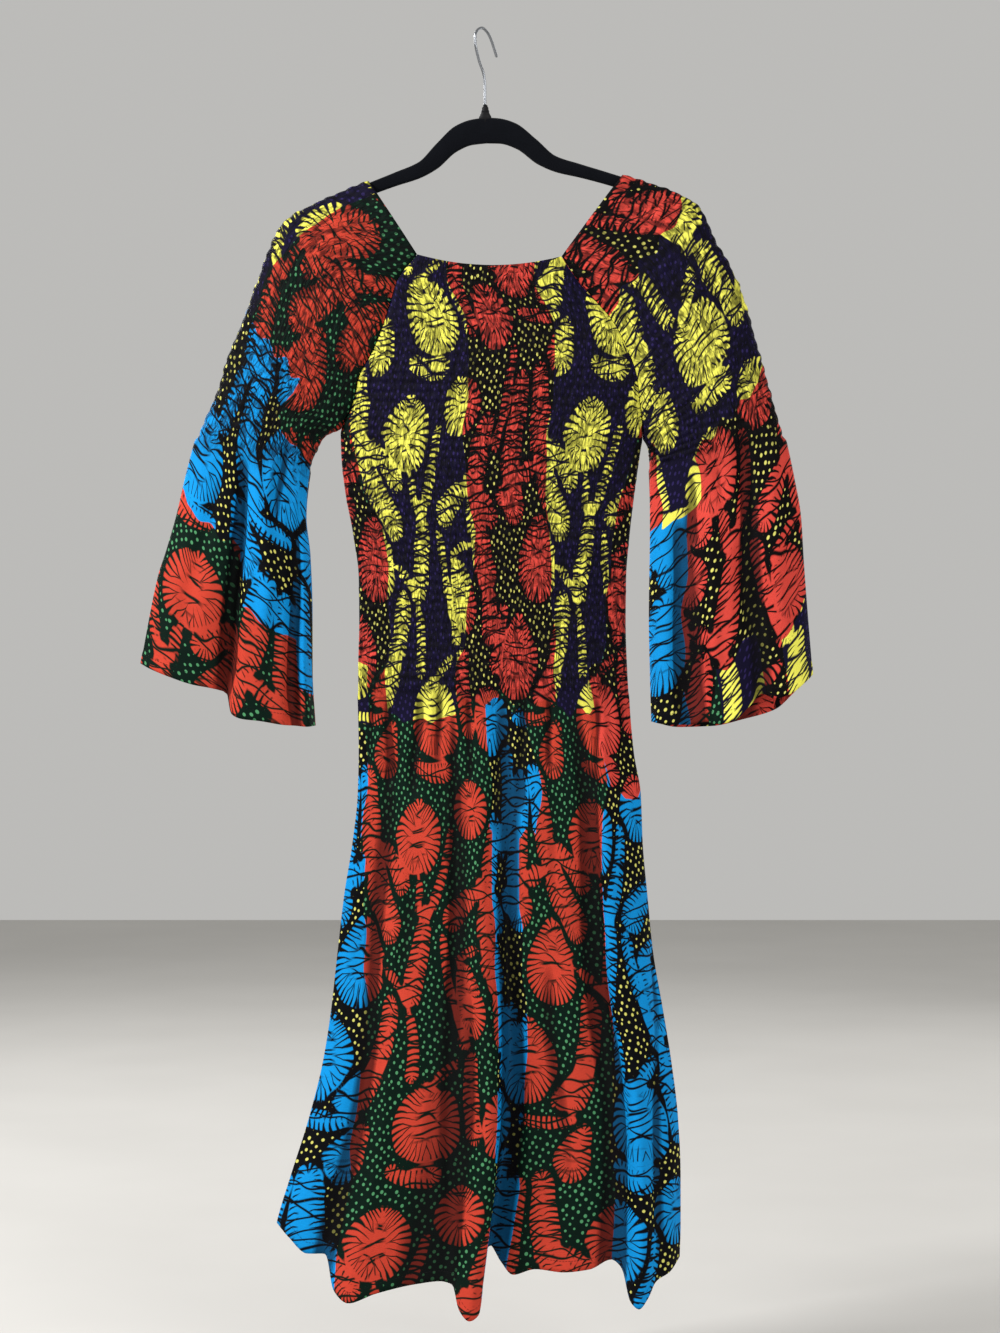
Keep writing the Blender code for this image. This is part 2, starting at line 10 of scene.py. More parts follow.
import bmesh
import bpy
import numpy as np
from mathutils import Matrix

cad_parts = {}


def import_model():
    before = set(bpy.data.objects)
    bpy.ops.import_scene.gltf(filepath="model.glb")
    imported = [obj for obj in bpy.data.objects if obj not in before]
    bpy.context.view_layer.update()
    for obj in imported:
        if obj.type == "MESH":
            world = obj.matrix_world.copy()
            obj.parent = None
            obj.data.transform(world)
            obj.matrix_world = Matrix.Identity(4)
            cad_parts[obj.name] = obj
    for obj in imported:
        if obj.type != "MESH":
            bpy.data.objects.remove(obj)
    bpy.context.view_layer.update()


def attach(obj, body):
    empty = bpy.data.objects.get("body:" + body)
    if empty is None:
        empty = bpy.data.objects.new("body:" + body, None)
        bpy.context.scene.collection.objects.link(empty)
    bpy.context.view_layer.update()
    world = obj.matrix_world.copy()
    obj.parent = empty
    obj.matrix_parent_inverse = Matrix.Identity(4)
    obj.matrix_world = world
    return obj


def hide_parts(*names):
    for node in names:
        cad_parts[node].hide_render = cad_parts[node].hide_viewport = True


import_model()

# Measures that the solids have too.
MM = 0.001
WALL = 1.0  # thickness of the cloth with its gathers
SEAM_GAP = 0.3  # between the front and the back
ARM_GAP = 0.75  # between a sleeve's inside and the hanger's arm
RAGLAN_SHIFT = 0.22  # how far each side of a raglan seam moves off the seam's line
YOKE_ROWS = 19
WAIST_ROWS = 27
UPPER_ARM_ROWS = 7
WAIST_DROP = 660.0
NECK_DIP = 10.0
NECK_DIP_ROWS = 8
SEAM_DEPTH = 14.0  # how far forward the raglan seams start at the neck
FOLD_GROWTH = 0.8  # folds grow with this power of the way down
FRONT_DIP = 1.0  # shares of the neck's dip
BACK_DIP = 0.8
HANGER_APEX = (2.5, 88.0)
HANGER_TILT = math.radians(2.6)
HANGER_THICKNESS = 5.6
WIRE_RADIUS = 1.4
NECK_ON_ARM = {"left": 119.0, "right": 134.0}

# How finely the cloth is meshed.
ROW_STEPS = 5
BODY_COLUMNS = 220
SKIRT_ROWS = 150
SLEEVE_COLUMNS = 84
BELL_ROWS = 90
INNER_ROW_STEP = 5
INNER_COLUMN_STEP = 2
ARM_STEPS = 90
ARM_TIP = 191.0  # distance from the hanger's middle where its tip starts
ARM_TIP_STEPS = 24
HANGER_SIDES = 32
WIRE_STEPS = 140
WIRE_SIDES = 20
WIRE_TIP = (0.5, 0.8, 0.95)  # rings on the wire's rounded tip, as shares of its radius
CROWDING = 0.4  # 0 spreads the columns evenly, and 1 crowds them most at a cloth's edges

# Gathers.
PUFF = 2.5  # how far the cloth swells between rows of elastic
PUFF_LEAST = 0.12  # the least share of that
PUFF_POWER = 0.7  # less than 1 makes the swellings fuller than a sine
PLEAT_PITCH = 9.0
PLEAT_LENGTH = 13.0
FINE_PLEAT = 0.55  # the finer pleats' share of that pitch
FINE_SHARE = 0.35  # their share of the height
BAND_SHIFT = 0.37  # moves each band's pleats on, so that no two bands match
FINE_BAND_SHIFT = 0.61
SLICE = 8.4  # the flat cloth that each small pleat takes up
TUCK = 0.45  # the share of it that is hidden
ROW_WAVER = 0.10  # how far the rows of elastic waver, in rows
WAVER_PITCH = 60.0
FINE_WAVER_PITCH = 23.0
SEAM_FADE = 5.0  # how far from a seam the gathers reach their full height
GATHER_HEIGHT = 4.8
GATHER_PITCH = 17.0
GATHER_START = 6.0
GATHER_FADE = 62.0
SHIRRED_FADE = 10.0  # how far the puckers' shade runs on below the last row of elastic
HEM_WIDTH = 12.0
HEM_RAISE = 0.45
HEM_STEP = 1.5  # how softly its second layer ends
CREASE_TURN = 4  # how sharply a crease ends where the cloth turns to its other side
CREASE_ENDS = 7  # how sharply it fades in and out along its length
CREASE_WIDTH = 0.8  # its width at the top, as a share of the table's
CREASE_WIDENING = 0.5  # what it gains on the way down
RANDOM_VALUES = 4096
RANDOM_SIDE = 256
# The hollows' depth sets how much painted shade the material puts in them.
HOLLOW_REACH = 7  # columns on each side of a place that its depth is set against

# Widths of the flat cut at the hems.
FRONT_CUT_WIDTH = 505.0
BACK_CUT_WIDTH = 440.0
SLEEVE_CUT_HALF = 200.0  # from the middle of the sleeve to its underarm seam

# The camera and the room, in metres.
CAMERA_DISTANCE = 2.7
PHOTO_WIDTH = 1.0  # what the frame spans at the object's plane
PHOTO_SHAPE = 1333 / 1000
PHOTO_CENTRE = (0.0173, -0.637)  # x and z of the middle of the frame
SENSOR = 36.0
FLOOR_DROP = 1.36
FLOOR_HALF = 5.0
LIGHT_TARGET = np.array([0.0, 0.0, -0.6])


def number_rows(lines):
    return [[float(word) for word in line.split()] for line in lines]


def table(text):
    """The columns of a table, each as an array under its name in the first line."""
    names, *rows = text.strip().split("\n")
    return dict(zip(names.split(), np.array(number_rows(rows)).T))


def sections(text):
    """Rows of numbers, in a list under each heading of a text."""
    found = {}
    for line in text.strip().split("\n"):
        if line[0].isalpha():
            rows = found.setdefault(line, [])
        else:
            rows += number_rows([line])
    return found


# The hanger's upper and lower edges, before it tilts: distance from its middle, and drops below its apex.
HANGER = table("""
out top bottom
0 0 26
14 1.5 27
30 7 33
50 24 49
68.5 41.5 58
92 50.5 64.5
116 59 72
150 71.5 84
185 85.5 97.5
198 92.5 104
206 99 109
211 106 111
""")

# The hanger's collar: heights above the apex, with the radius there and how flat it is from front to back.
COLLAR = table("""
above radius squash
-5 6.6 0.42
0.6 6.2 0.45
2.2 5.3 0.55
4 4.4 0.75
5.4 3.9 0.9
5.8 4.1 0.95
6.6 4.1 1
7 3.6 1
8.6 3.2 1
9 3.4 1
9.8 3.3 1
10.2 2.7 1
12.2 2.2 1
12.5 1.6 1
""")

# The hook's wire, from the collar up round the crown to the free tip.
HOOK = table("""
x forward drop
2.3 0 75.4
2.3 0 58
1.2 0.6 46
-3.2 5 33.5
-5.6 8.6 25
-7.2 10.9 16.5
-7.4 11.2 9.5
-4.7 7.2 1.9
0 0 -1.4
3.9 -6 0.6
7.3 -11 5.2
10.2 -15.5 12
13.7 -20.6 22
""")

OFF_WIRE = (0.83, 0.56, 0.0)  # a level direction that the wire never runs along

# The body's two sides: raglan seams down to the underarm, then side seams, and half the body's depth.
BODY = table("""
drop left right depth
227 -65 77 17
252 -84.5 94 18
274 -91.5 113 19.5
294 -98 130 21
320 -108 143.5 22.5
348 -123 153.5 23.5
373 -129 156.5 24
405 -142 160 24
424 -141.5 157.5 24
462 -137.5 152 23.5
505 -129.5 147 22.5
548 -124 143.5 21.5
594 -123.5 143 21
640 -124.5 144.5 21
722 -124 151 22
764 -125 158 23
815 -130.5 160 24
865 -138.5 164.5 25
921 -145 170 26
983 -152 180.5 27
1033 -160 188.5 28
1089 -174 195 29
1146 -192 197.5 30
1193 -206 197.5 30
1227 -212 196.5 30
""")
UNDERARM_DROP = {"left": 400.0, "right": 410.0}
NECK_DROP = {"left": 227.0, "right": 229.0}

# The hems, seen from above: folds stand forward and hang lower, and the cloth lies back between them.
FRONT_HEM = table("""
x forward drop
-206 0 1193
-192 13 1206
-175 18 1220
-157 15 1221
-147 31 1254
-132 42 1264
-105 40 1255
-66 34 1247
-42 34 1244
-30 40 1246
-23 52 1268
-13 58 1278
-3 50 1272
2 25 1222
8 13 1213
18 18 1228
30 28 1239
52 31 1233
80 32 1236
106 27 1234
128 18 1226
138 24 1233
146 40 1263
154 46 1269
163 39 1260
171 28 1246
186 18 1238
197 0 1227
""")
BACK_HEM = table("""
x forward drop
-206 0 1193
-190 12 1205
-160 24 1215
-125 35 1230
-92 27 1226
-60 19 1217
-28 26 1218
4 17 1210
34 27 1233
62 36 1241
92 31 1238
120 22 1229
150 33 1236
176 26 1232
197 0 1227
""")

# A sleeve's outline below the hanger's arm and below the underarm, from the top down to the cuff.
LEFT_OUTER = table("""
x drop
-225 253
-238 289
-253 325
-264 361
-279 396
-294 442
-306 488
-317 524
-324 545
-342 634
""")
LEFT_INNER = table("""
x drop
-142 400
-157 407
-166 422
-172 438
-176 487
-172 526
-170 583
-170 641
-167 696
""")
RIGHT_OUTER = table("""
x drop
233 214
247 237
262 274
272 310
284.5 355
297.5 401
309.5 447
317.5 488
321 536
330 645
""")
RIGHT_INNER = table("""
x drop
160 410
164.5 418
166 426
166.5 436
167 500
166 588
167 640
168.5 692
""")
ARM_DROP_AT_UNDERARM = 320.0  # drop of the sleeve's outer edge on the row that meets the underarm
ARM_DROP_AT_SHIRR_END = 406.0
INNER_SHIRR_POINTS = 4  # how many points of the inner tables lie beside the rows of elastic
SLEEVE = table("""
row depth
0 17
8 21
19 22
26 20
""")

# The cuffs, each from its outer corner to its inner one.
LEFT_FRONT_CUFF = table("""
x forward drop
-342 0 634
-332 11 639
-312 20 647
-288 22 655
-268 17 659
-256 8 663
-249 22 684
-238 30 689
-220 31 691
-197 24 695
-186 13 696
-175 15 697
-167 0 696
""")
LEFT_BACK_CUFF = table("""
x forward drop
-342 0 634
-325 15 642
-290 24 652
-255 17 660
-220 26 680
-190 20 690
-167 0 696
""")
RIGHT_FRONT_CUFF = table("""
x forward drop
330 0 645
322 12 652
304 22 665
290 20 669
278 16 664
264 24 677
248 31 691
232 30 694
222 18 692
206 9 695
188 15 695
177 12 694
168.5 0 692
""")
RIGHT_BACK_CUFF = table("""
x forward drop
330 0 645
314 14 662
295 22 680
262 17 690
232 26 697
198 20 698
168.5 0 692
""")

LEFT_CUFFS = (LEFT_FRONT_CUFF, LEFT_BACK_CUFF)
RIGHT_CUFFS = (RIGHT_FRONT_CUFF, RIGHT_BACK_CUFF)

# The print's repeat, in millimetres of flat cloth. Each motif is a bent spine with a radius at each end:
# where it starts, the way it heads (90 is down), its length and how far it bends.
REPEAT = (300.0, 400.0)
MOTIFS = table("""
across down heading length bend first_radius last_radius
40 8 84 158 -30 14 19
62 76 20 58 30 10 16
46 100 164 56 -30 10 15
62 162 96 36 0 17 34
130 40 92 30 0 13 37
212 20 78 20 0 12 28
22 256 100 36 0 12 38
160 316 84 36 0 12 40
264 328 96 22 0 12 31
262 60 112 152 -44 15 19
234 112 30 52 26 10 14
238 118 164 56 -30 10 15
208 204 70 36 20 16 27
258 208 64 54 24 12 18
106 234 96 100 30 14 17
94 292 146 50 -22 10 14
82 360 112 30 0 12 21
150 140 92 84 20 11 16
216 286 96 70 -24 11 15
292 242 92 52 18 10 15
130 396 20 44 -30 9 14
182 62 96 86 26 6 9
178 166 82 108 -16 6 10
132 96 66 46 26 5 7
12 16 98 122 -18 14 19
292 384 88 92 18 6 10
132 236 70 66 26 6 9
14 346 12 58 -24 6 8
236 176 176 40 -34 5 7
196 290 156 48 -30 5 8
88 196 20 48 34 5 8
""")
SPINE_STEP = 9.0  # the length of a bent spine's straight steps
TURN_RADIUS = 6.0  # least radius that teeth are counted round at a spine's ends
JUMP_RATE = 2.0  # a count along a spine that grows faster than this jumps between spines
JUMP_LEAST = 1.0
MOTIF_STAGGER = 37.0  # keeps the teeth of neighbouring motifs out of step

# Blocks of colour on each cloth: the left and right side at the top and at the bottom, as shares of the
# width, and the top and bottom as drops or lengths in millimetres. "blue" is a blue print on near-black,
# "yellow" a yellow one on purple-navy, "red" a red one on black, and the rest is red on green.
BLOCKS = sections("""
dress_front yellow
-0.1 0.352 0.11 0.444 200 503
0.11 0.444 0.11 0.36 503 690
0.651 1.1 0.707 0.937 200 503
0.707 0.937 0.735 0.9 503 682
-0.1 0.045 -0.1 0.04 640 700
dress_front red
0.352 0.651 0.444 0.707 200 503
0.444 0.707 0.36 0.735 503 668
-0.1 0.03 -0.1 0.11 410 503
-0.1 0.11 -0.1 0.11 503 640
0.99 1.1 0.937 1.1 410 503
0.937 1.1 0.9 1.1 503 700
0.86 1.1 0.89 1.1 640 764
dress_front blue
-0.1 0.03 -0.1 0.04 706 826
-0.1 0.06 -0.1 0.167 826 1400
0.47 0.6 0.47 0.65 676 730
0.47 0.65 0.47 0.64 730 800
0.483 0.585 0.461 0.575 800 1400
0.885 1.1 0.84 1.1 734 870
0.84 1.1 0.79 1.1 870 1100
0.79 1.1 0.8 1.1 1100 1400
dress_back yellow
0.28 0.64 0.32 0.6 200 655
dress_back red
-0.1 0.28 -0.1 0.32 200 640
0.64 1.1 0.6 1.1 200 640
0.4 0.55 0.4 0.52 655 780
dress_back blue
0.1 0.22 0.1 0.26 700 1400
0.55 0.68 0.55 0.7 780 1400
0.92 1.1 0.86 1.1 700 1400
sleeve_left yellow
-0.06 0.3 -0.13 0.3 -10 92
-0.13 0.3 -0.03 0.25 92 192
sleeve_left red
0.03 0.5 0.03 0.5 200 330
0.5 1.1 0.5 1.1 -10 230
sleeve_left blue
-0.56 0.03 -0.56 0.1 192 386
-1.1 -0.56 -1.1 -0.56 240 424
-0.83 -0.44 -0.83 -0.44 386 424
-1.1 -0.87 -1.1 -0.87 424 470
0.45 0.8 0.45 0.8 240 424
0.92 1.1 0.92 1.1 240 470
sleeve_right yellow
-1.1 0.35 -1.1 0.35 70 262
-0.93 -0.66 -0.93 -0.66 262 306
-0.4 -0.2 -0.34 -0.2 262 284
-0.2 0.35 -0.14 0.35 262 306
-0.2 0.1 -0.2 0.1 495 600
-0.56 -0.32 -0.56 -0.32 470 600
sleeve_right red
-1.1 1.1 -1.1 1.1 -10 70
-1.1 -0.93 -1.1 -0.93 214 292
-0.66 0.35 -0.66 0.35 262 306
-0.76 0.4 -0.76 0.4 306 474
-0.32 0.4 -0.32 0.4 474 495
-0.76 -0.56 -0.76 -0.6 474 500
-0.32 -0.2 -0.32 -0.2 495 600
0.1 0.4 0.1 0.4 495 600
0.35 1.1 0.35 1.1 160 300
0.62 1.1 0.62 1.1 420 600
sleeve_right blue
-1.1 -0.74 -1.1 -0.76 298 518
0.84 1.1 0.84 1.1 298 420
""")
BLOCK_COLOURS = ("blue", "yellow", "red")
BLOCK_RAGGED = 17.0  # how far the ends of blocks waver, and how far apart the turns are
SIDE_RAGGED = 12.0  # how far the sides of blocks waver, over turns three times as far apart

# Soft creases listed for each side of each cloth, in millimetres: x and z of the top and of the bottom,
# how far it sways aside between them, its width and its depth. A crease of negative depth is a ridge.
CREASES = sections("""
dress_front front
-30 -662 -30 -1250 3 5.5 4.2
18 -668 8 -900 4 8 4
-74 -840 -95 -1050 5 9 3.2
-52 -700 -42 -960 -6 9 -2.2
-104 -760 -128 -1010 4 10 2.5
92 -676 124 -1060 5 12 5
120 -672 134 -1240 -3 4.5 -3
50 -690 62 -900 4 9 -2
66 -930 88 -1190 -5 11 3
169 -900 178 -1230 3 5.5 3.2
-8 -690 -18 -1180 3 7 -2
-111 -664 -114 -742 1 4 3.4
-92 -662 -94 -760 -2 5 3.7
-64 -664 -68 -770 2 5 4.4
-44 -662 -46 -738 1 4 3.4
-14 -660 -12 -756 -1 4 3.7
38 -662 40 -782 2 5 4.8
64 -664 66 -744 1 4 3.1
112 -664 116 -770 2 4 3.7
138 -662 143 -740 1 4 3.1
62 -690 70 -1262 3 25 4.4
-82 -700 -94 -1262 -3 24 2
148 -860 164 -1262 3 15 -2.4
dress_back back
20 -664 32 -1220 4 6 4
-38 -668 -52 -1010 -4 9 3.8
-82 -760 -104 -1160 5 10 3
78 -690 96 -1100 5 11 4.2
118 -700 148 -1180 -4 7 -2.8
50 -760 60 -980 4 9 -2.2
-10 -720 -14 -1150 3 8 -2.2
-100 -664 -104 -752 1 4 3.4
-66 -662 -70 -770 -2 5 4.1
-18 -664 -20 -748 1 4 3.7
48 -662 52 -776 2 5 4.4
96 -664 100 -744 1 4 3.4
130 -662 136 -764 2 4 3.7
sleeve_left front
-240 -405 -250 -668 3 6 6.2
-184 -470 -188 -700 2 4.5 4.5
-218 -420 -216 -600 -4 8 -3
-262 -430 -300 -620 4 10 3.2
-206 -560 -212 -700 2 7 2.5
-196 -410 -204 -500 2 5 3.7
sleeve_left back
-226 -410 -238 -670 -3 7 5.5
-262 -430 -292 -640 4 9 3.8
-196 -480 -200 -690 2 5 3.8
-244 -420 -262 -600 3 8 -2.8
sleeve_right front
189 -480 205 -690 3 10 5.8
222 -470 234 -660 2 6 -3.8
254 -380 270 -612 4 9 5.5
280 -380 296 -560 3 7 -2.8
300 -450 312 -600 3 6 3
206 -440 212 -520 2 5 3.7
234 -430 244 -520 -2 5 3.4
sleeve_right back
206 -430 222 -680 3 8 5
246 -420 262 -650 -3 7 5
282 -430 300 -600 3 8 3.2
230 -450 240 -620 3 7 -2.8
""")

# How much larger the motifs are drawn on each cloth, and where the repeat starts on it, in millimetres.
MOTIF_SWELL = {"dress_front": 0.0, "dress_back": 0.0, "sleeve_left": 1.2, "sleeve_right": 2.2}
REPEAT_OFFSET = {
    "dress_front": (20.0, 60.0),
    "dress_back": (150.0, 230.0),
    "sleeve_left": (175.0, 10.0),
    "sleeve_right": (240.0, 170.0),
}


def smooth(knots, values, at):
    """A curve through the values that never overshoots: it is level at each high and low one."""
    knots = np.asarray(knots, float)
    values = np.asarray(values, float)
    span = np.diff(knots)
    slope = np.diff(values) / span
    before = slope[:-1]
    after = slope[1:]
    agree = before * after > 0
    total = np.where(agree, before + after, 1.0)
    tangent = np.concatenate([slope[:1], np.where(agree, 2 * before * after / total, 0.0), slope[-1:]])
    i = np.clip(np.searchsorted(knots, at, side="right") - 1, 0, len(span) - 1)
    t = (at - knots[i]) / span[i]
    return (
        (1 + 2 * t) * (1 - t) ** 2 * values[i]
        + t * (1 - t) ** 2 * span[i] * tangent[i]
        + t * t * (3 - 2 * t) * values[i + 1]
        - t * t * (1 - t) * span[i] * tangent[i + 1]
    )


def lengths(*columns):
    """Distance travelled along a line of points, at each point."""
    steps = np.sqrt(sum(np.diff(column) ** 2 for column in columns))
    return np.concatenate([[0.0], np.cumsum(steps)])


def places(columns):
    """Places across a cloth, closer together beside its edges, where it turns away."""
    even = np.linspace(0, 1, columns + 1)
    return (1 - CROWDING) * even + CROWDING * (1 - np.cos(np.pi * even)) / 2


def seam_depth(row):
    """How far forward the raglan seam lies where a row of elastic ends on it."""
    return SEAM_DEPTH * math.sqrt(max(1 - (row / YOKE_ROWS) ** 3, 0))


def body_sides(row):
    """Drops and x of both ends of a row of elastic."""
    yoke = min(row / YOKE_ROWS, 1.0)
    below = max(row - YOKE_ROWS, 0) / WAIST_ROWS
    ends = {}
    for side, away in (("left", RAGLAN_SHIFT), ("right", -RAGLAN_SHIFT)):
        drop = NECK_DROP[side] + (UNDERARM_DROP[side] - NECK_DROP[side]) * yoke
        drop += (WAIST_DROP - UNDERARM_DROP[side]) * below
        x = float(smooth(BODY["drop"], BODY[side], drop))
        ends[side] = (x + away if row < YOKE_ROWS else x, drop)
    return ends


def body_row(row, across, dipped):
    """x, forward and drop across one row of elastic, from the left side to the right."""
    ends = body_sides(row)
    left, left_drop = ends["left"]
    right, right_drop = ends["right"]
    depth = float(smooth(BODY["drop"], BODY["depth"], left_drop))
    reach = (right - left) / 2 / math.sqrt(1 - (seam_depth(row) / depth) ** 2)
    x = left + (right - left) * across
    forward = depth * np.sqrt(np.maximum(1 - ((x - (left + right) / 2) / reach) ** 2, 0))
    dip = NECK_DIP * max(1 - row / NECK_DIP_ROWS, 0) * 4 * across * (1 - across)
    return x, forward, left_drop + (right_drop - left_drop) * across + dip * dipped


def bulge(edge, t):
    """How far an edge strays from the straight line between its ends."""
    return edge(t) - (1 - t) * edge(0.0) - t * edge(1.0)


def flare(top, hem, first_edge, last_edge, across, rows):
    """Rows of points (x, forward, drop) from a top row to a hem, between two edges of given shape."""
    grid = []
    for t in np.linspace(0, 1, rows + 1):
        point = []
        for axis, first, last in zip((0, 2), first_edge, last_edge):
            ruled = (1 - t) * top[axis] + t * hem[axis]
            point.append(ruled + (1 - across) * bulge(first, t) + across * bulge(last, t))
        growth = t**FOLD_GROWTH
        grid.append((point[0], (1 - growth) * top[1] + growth * hem[1], point[1]))
    return grid


def hem_curve(hem, across):
    """x, forward and drop of a hem at shares of its length."""
    along = lengths(hem["x"], hem["forward"])
    return [smooth(along, hem[name], across * along[-1]) for name in ("x", "forward", "drop")]


def side_line(side, hem_drop):
    """The side seam below the waist, as functions of the share of the way down."""

    def drop(t):
        return WAIST_DROP + (hem_drop - WAIST_DROP) * t

    return (lambda t: smooth(BODY["drop"], BODY[side], drop(t)), drop)


def hanger_point(side, out, drop):
    """x and drop of a point of the hanger once it tilts."""
    sign = {"left": -1, "right": 1}[side]
    x = HANGER_APEX[0] + sign * out * math.cos(HANGER_TILT) + drop * math.sin(HANGER_TILT)
    return x, HANGER_APEX[1] - sign * out * math.sin(HANGER_TILT) + drop * math.cos(HANGER_TILT)


class Edge:
    """An edge of a sleeve, looked up by the distance down it."""

    def __init__(self, x, drop):
        self.x = x
        self.drop = drop
        self.distance = lengths(x, drop)

    def at(self, distance):
        return smooth(self.distance, self.x, distance), smooth(self.distance, self.drop, distance)

    def below(self, start):
        """x and drop below a distance, as functions of the share of the way down."""
        rest = self.distance[-1] - start
        return lambda t: self.at(start + rest * t)[0], lambda t: self.at(start + rest * t)[1]


def outer_edge(side, outer):
    """A sleeve's outer edge: over the hanger's arm, then down to the cuff."""
    out = np.linspace(NECK_ON_ARM[side], HANGER["out"][-1], 20)
    top = smooth(HANGER["out"], HANGER["top"], out)
    slope = np.gradient(top, out)
    clear = WALL + ARM_GAP
    x, drop = hanger_point(side, out + clear * slope / np.hypot(1, slope), top - clear / np.hypot(1, slope))
    return Edge(np.concatenate([x, outer["x"]]), np.concatenate([drop, outer["drop"]]))


class SleeveLines:
    """Where the rows of one sleeve begin on its outer edge and end on its seam or inner edge."""

    def __init__(self, side, outer, inner):
        self.side = side
        self.outer = outer_edge(side, outer)
        self.inner = Edge(inner["x"], inner["drop"])
        self.shirred = self.inner.distance[INNER_SHIRR_POINTS - 1]
        marks = (ARM_DROP_AT_UNDERARM, ARM_DROP_AT_SHIRR_END)
        self.marks = [float(np.interp(mark, self.outer.drop, self.outer.distance)) for mark in marks]

    def start(self, row):
        """Distance down the outer edge at which a row starts."""
        return np.interp(row, [0, YOKE_ROWS, YOKE_ROWS + UPPER_ARM_ROWS], [0.0] + self.marks)

    def row(self, row, across, depth):
        """x, forward and drop across one row of elastic, from the outer edge to the inner one."""
        start = self.outer.at(self.start(row))
        away = -RAGLAN_SHIFT if self.side == "left" else RAGLAN_SHIFT
        if row < YOKE_ROWS:
            drop = NECK_DROP[self.side] + (UNDERARM_DROP[self.side] - NECK_DROP[self.side]) * row / YOKE_ROWS
            end = (float(smooth(BODY["drop"], BODY[self.side], drop)), drop)
        else:
            end = self.inner.at(self.shirred * (row - YOKE_ROWS) / UPPER_ARM_ROWS)
        turn = math.pi - math.asin(seam_depth(row) / depth)
        cosine = 1 - across * (1 - math.cos(turn))
        forward = depth * np.sqrt(np.maximum(1 - cosine**2, 0))
        x = start[0] + (end[0] + away - start[0]) * across
        return x, forward, start[1] + (end[1] - start[1]) * across


def world(line, facing, apart=0.0):
    """Points in the frame, in millimetres. facing is -1 on a front and 1 on a back."""
    x, forward, drop = line
    return np.stack(np.broadcast_arrays(x, facing * (forward + apart), -drop), axis=-1)


def outward(grid, welded_from=None):
    """Unit normals of a grid of points whose rows run down and whose columns run round the body."""
    down = np.gradient(grid, axis=0)
    round_body = np.gradient(grid, axis=1)
    if welded_from is not None:
        closed = grid[welded_from:, 1] - grid[welded_from:, -2]
        round_body[welded_from:, 0] = closed
        round_body[welded_from:, -1] = closed
    normal = np.cross(down, round_body)
    return normal / np.linalg.norm(normal, axis=2, keepdims=True)


def wander(at, pitch, seed):
    """A smooth random wave between 0 and 1 along one axis, whose turns are about a pitch apart."""
    values = np.random.default_rng(seed).random(RANDOM_VALUES)
    place = at / pitch
    low = np.floor(place).astype(int)
    t = place - low
    t = t * t * (3 - 2 * t)
    return values.take(low, mode="wrap") * (1 - t) + values.take(low + 1, mode="wrap") * t


def crinkle(across, down, seed):
    """A smooth random relief between 0 and 1, whose bumps are about 1 across and 1 down."""
    values = np.random.default_rng(seed).random((RANDOM_SIDE, RANDOM_SIDE))
    i, j = (np.floor(place).astype(int) for place in (across, down))
    s, t = (share * share * (3 - 2 * share) for share in (across - i, down - j))

    def row(j):
        line = j % RANDOM_SIDE
        return values[i % RANDOM_SIDE, line] * (1 - s) + values[(i + 1) % RANDOM_SIDE, line] * s

    return row(j) * (1 - t) + row(j + 1) * t


class Cloth:
    """A fine grid over one cloth: its points, each one's place on the flat cloth, and its gathers."""

    def __init__(self, base, across, down, rows, backwards, cut_width, welded_from=None):
        if backwards:
            base, across, down = (grid[:, ::-1] for grid in (base, across, down))
        plain = len(base) - len(rows)
        self.base = base
        self.across = across
        self.down = down
        self.row = np.concatenate([rows, np.full(plain, rows[-1])])[:, None] + 0 * across
        self.shirred = np.concatenate([np.ones(len(rows)), np.zeros(plain)])[:, None] + 0 * across
        self.below = np.maximum(down - down[len(rows) - 1], 0)
        self.from_hem = down[-1] - down
        self.cut_width = cut_width
        self.welded_from = welded_from


def cut_share(widths, plain_rows):
    """Each row's share of the cut's full width, which the cloth reaches at the underarm."""
    underarm = YOKE_ROWS * ROW_STEPS
    share = np.minimum(widths / widths[underarm], 1.0)
    share[underarm:] = 1.0
    return np.concatenate([share, np.ones(plain_rows)])[:, None]


def body_cloth(hem, facing, dipped, cut_width):
    """The front or the back, from the neck to the hem."""
    across = places(BODY_COLUMNS)
    rows = np.arange((YOKE_ROWS + WAIST_ROWS) * ROW_STEPS + 1) / ROW_STEPS
    lines = [body_row(row, across, dipped) for row in rows]
    left = side_line("left", hem["drop"][0])
    right = side_line("right", hem["drop"][-1])
    lines += flare(lines[-1], hem_curve(hem, across), left, right, across, SKIRT_ROWS)[1:]
    base = np.array([world(line, facing, SEAM_GAP / 2) for line in lines])
    ends = [body_sides(row) for row in rows]
    widths = np.array([end["right"][0] - end["left"][0] for end in ends])
    cloth_across = (0.5 + (across[None] - 0.5) * cut_share(widths, SKIRT_ROWS)) * cut_width
    cloth_down = np.array([np.broadcast_to(line[2], across.shape) for line in lines])
    return Cloth(base, cloth_across, cloth_down, rows, facing > 0, cut_width)


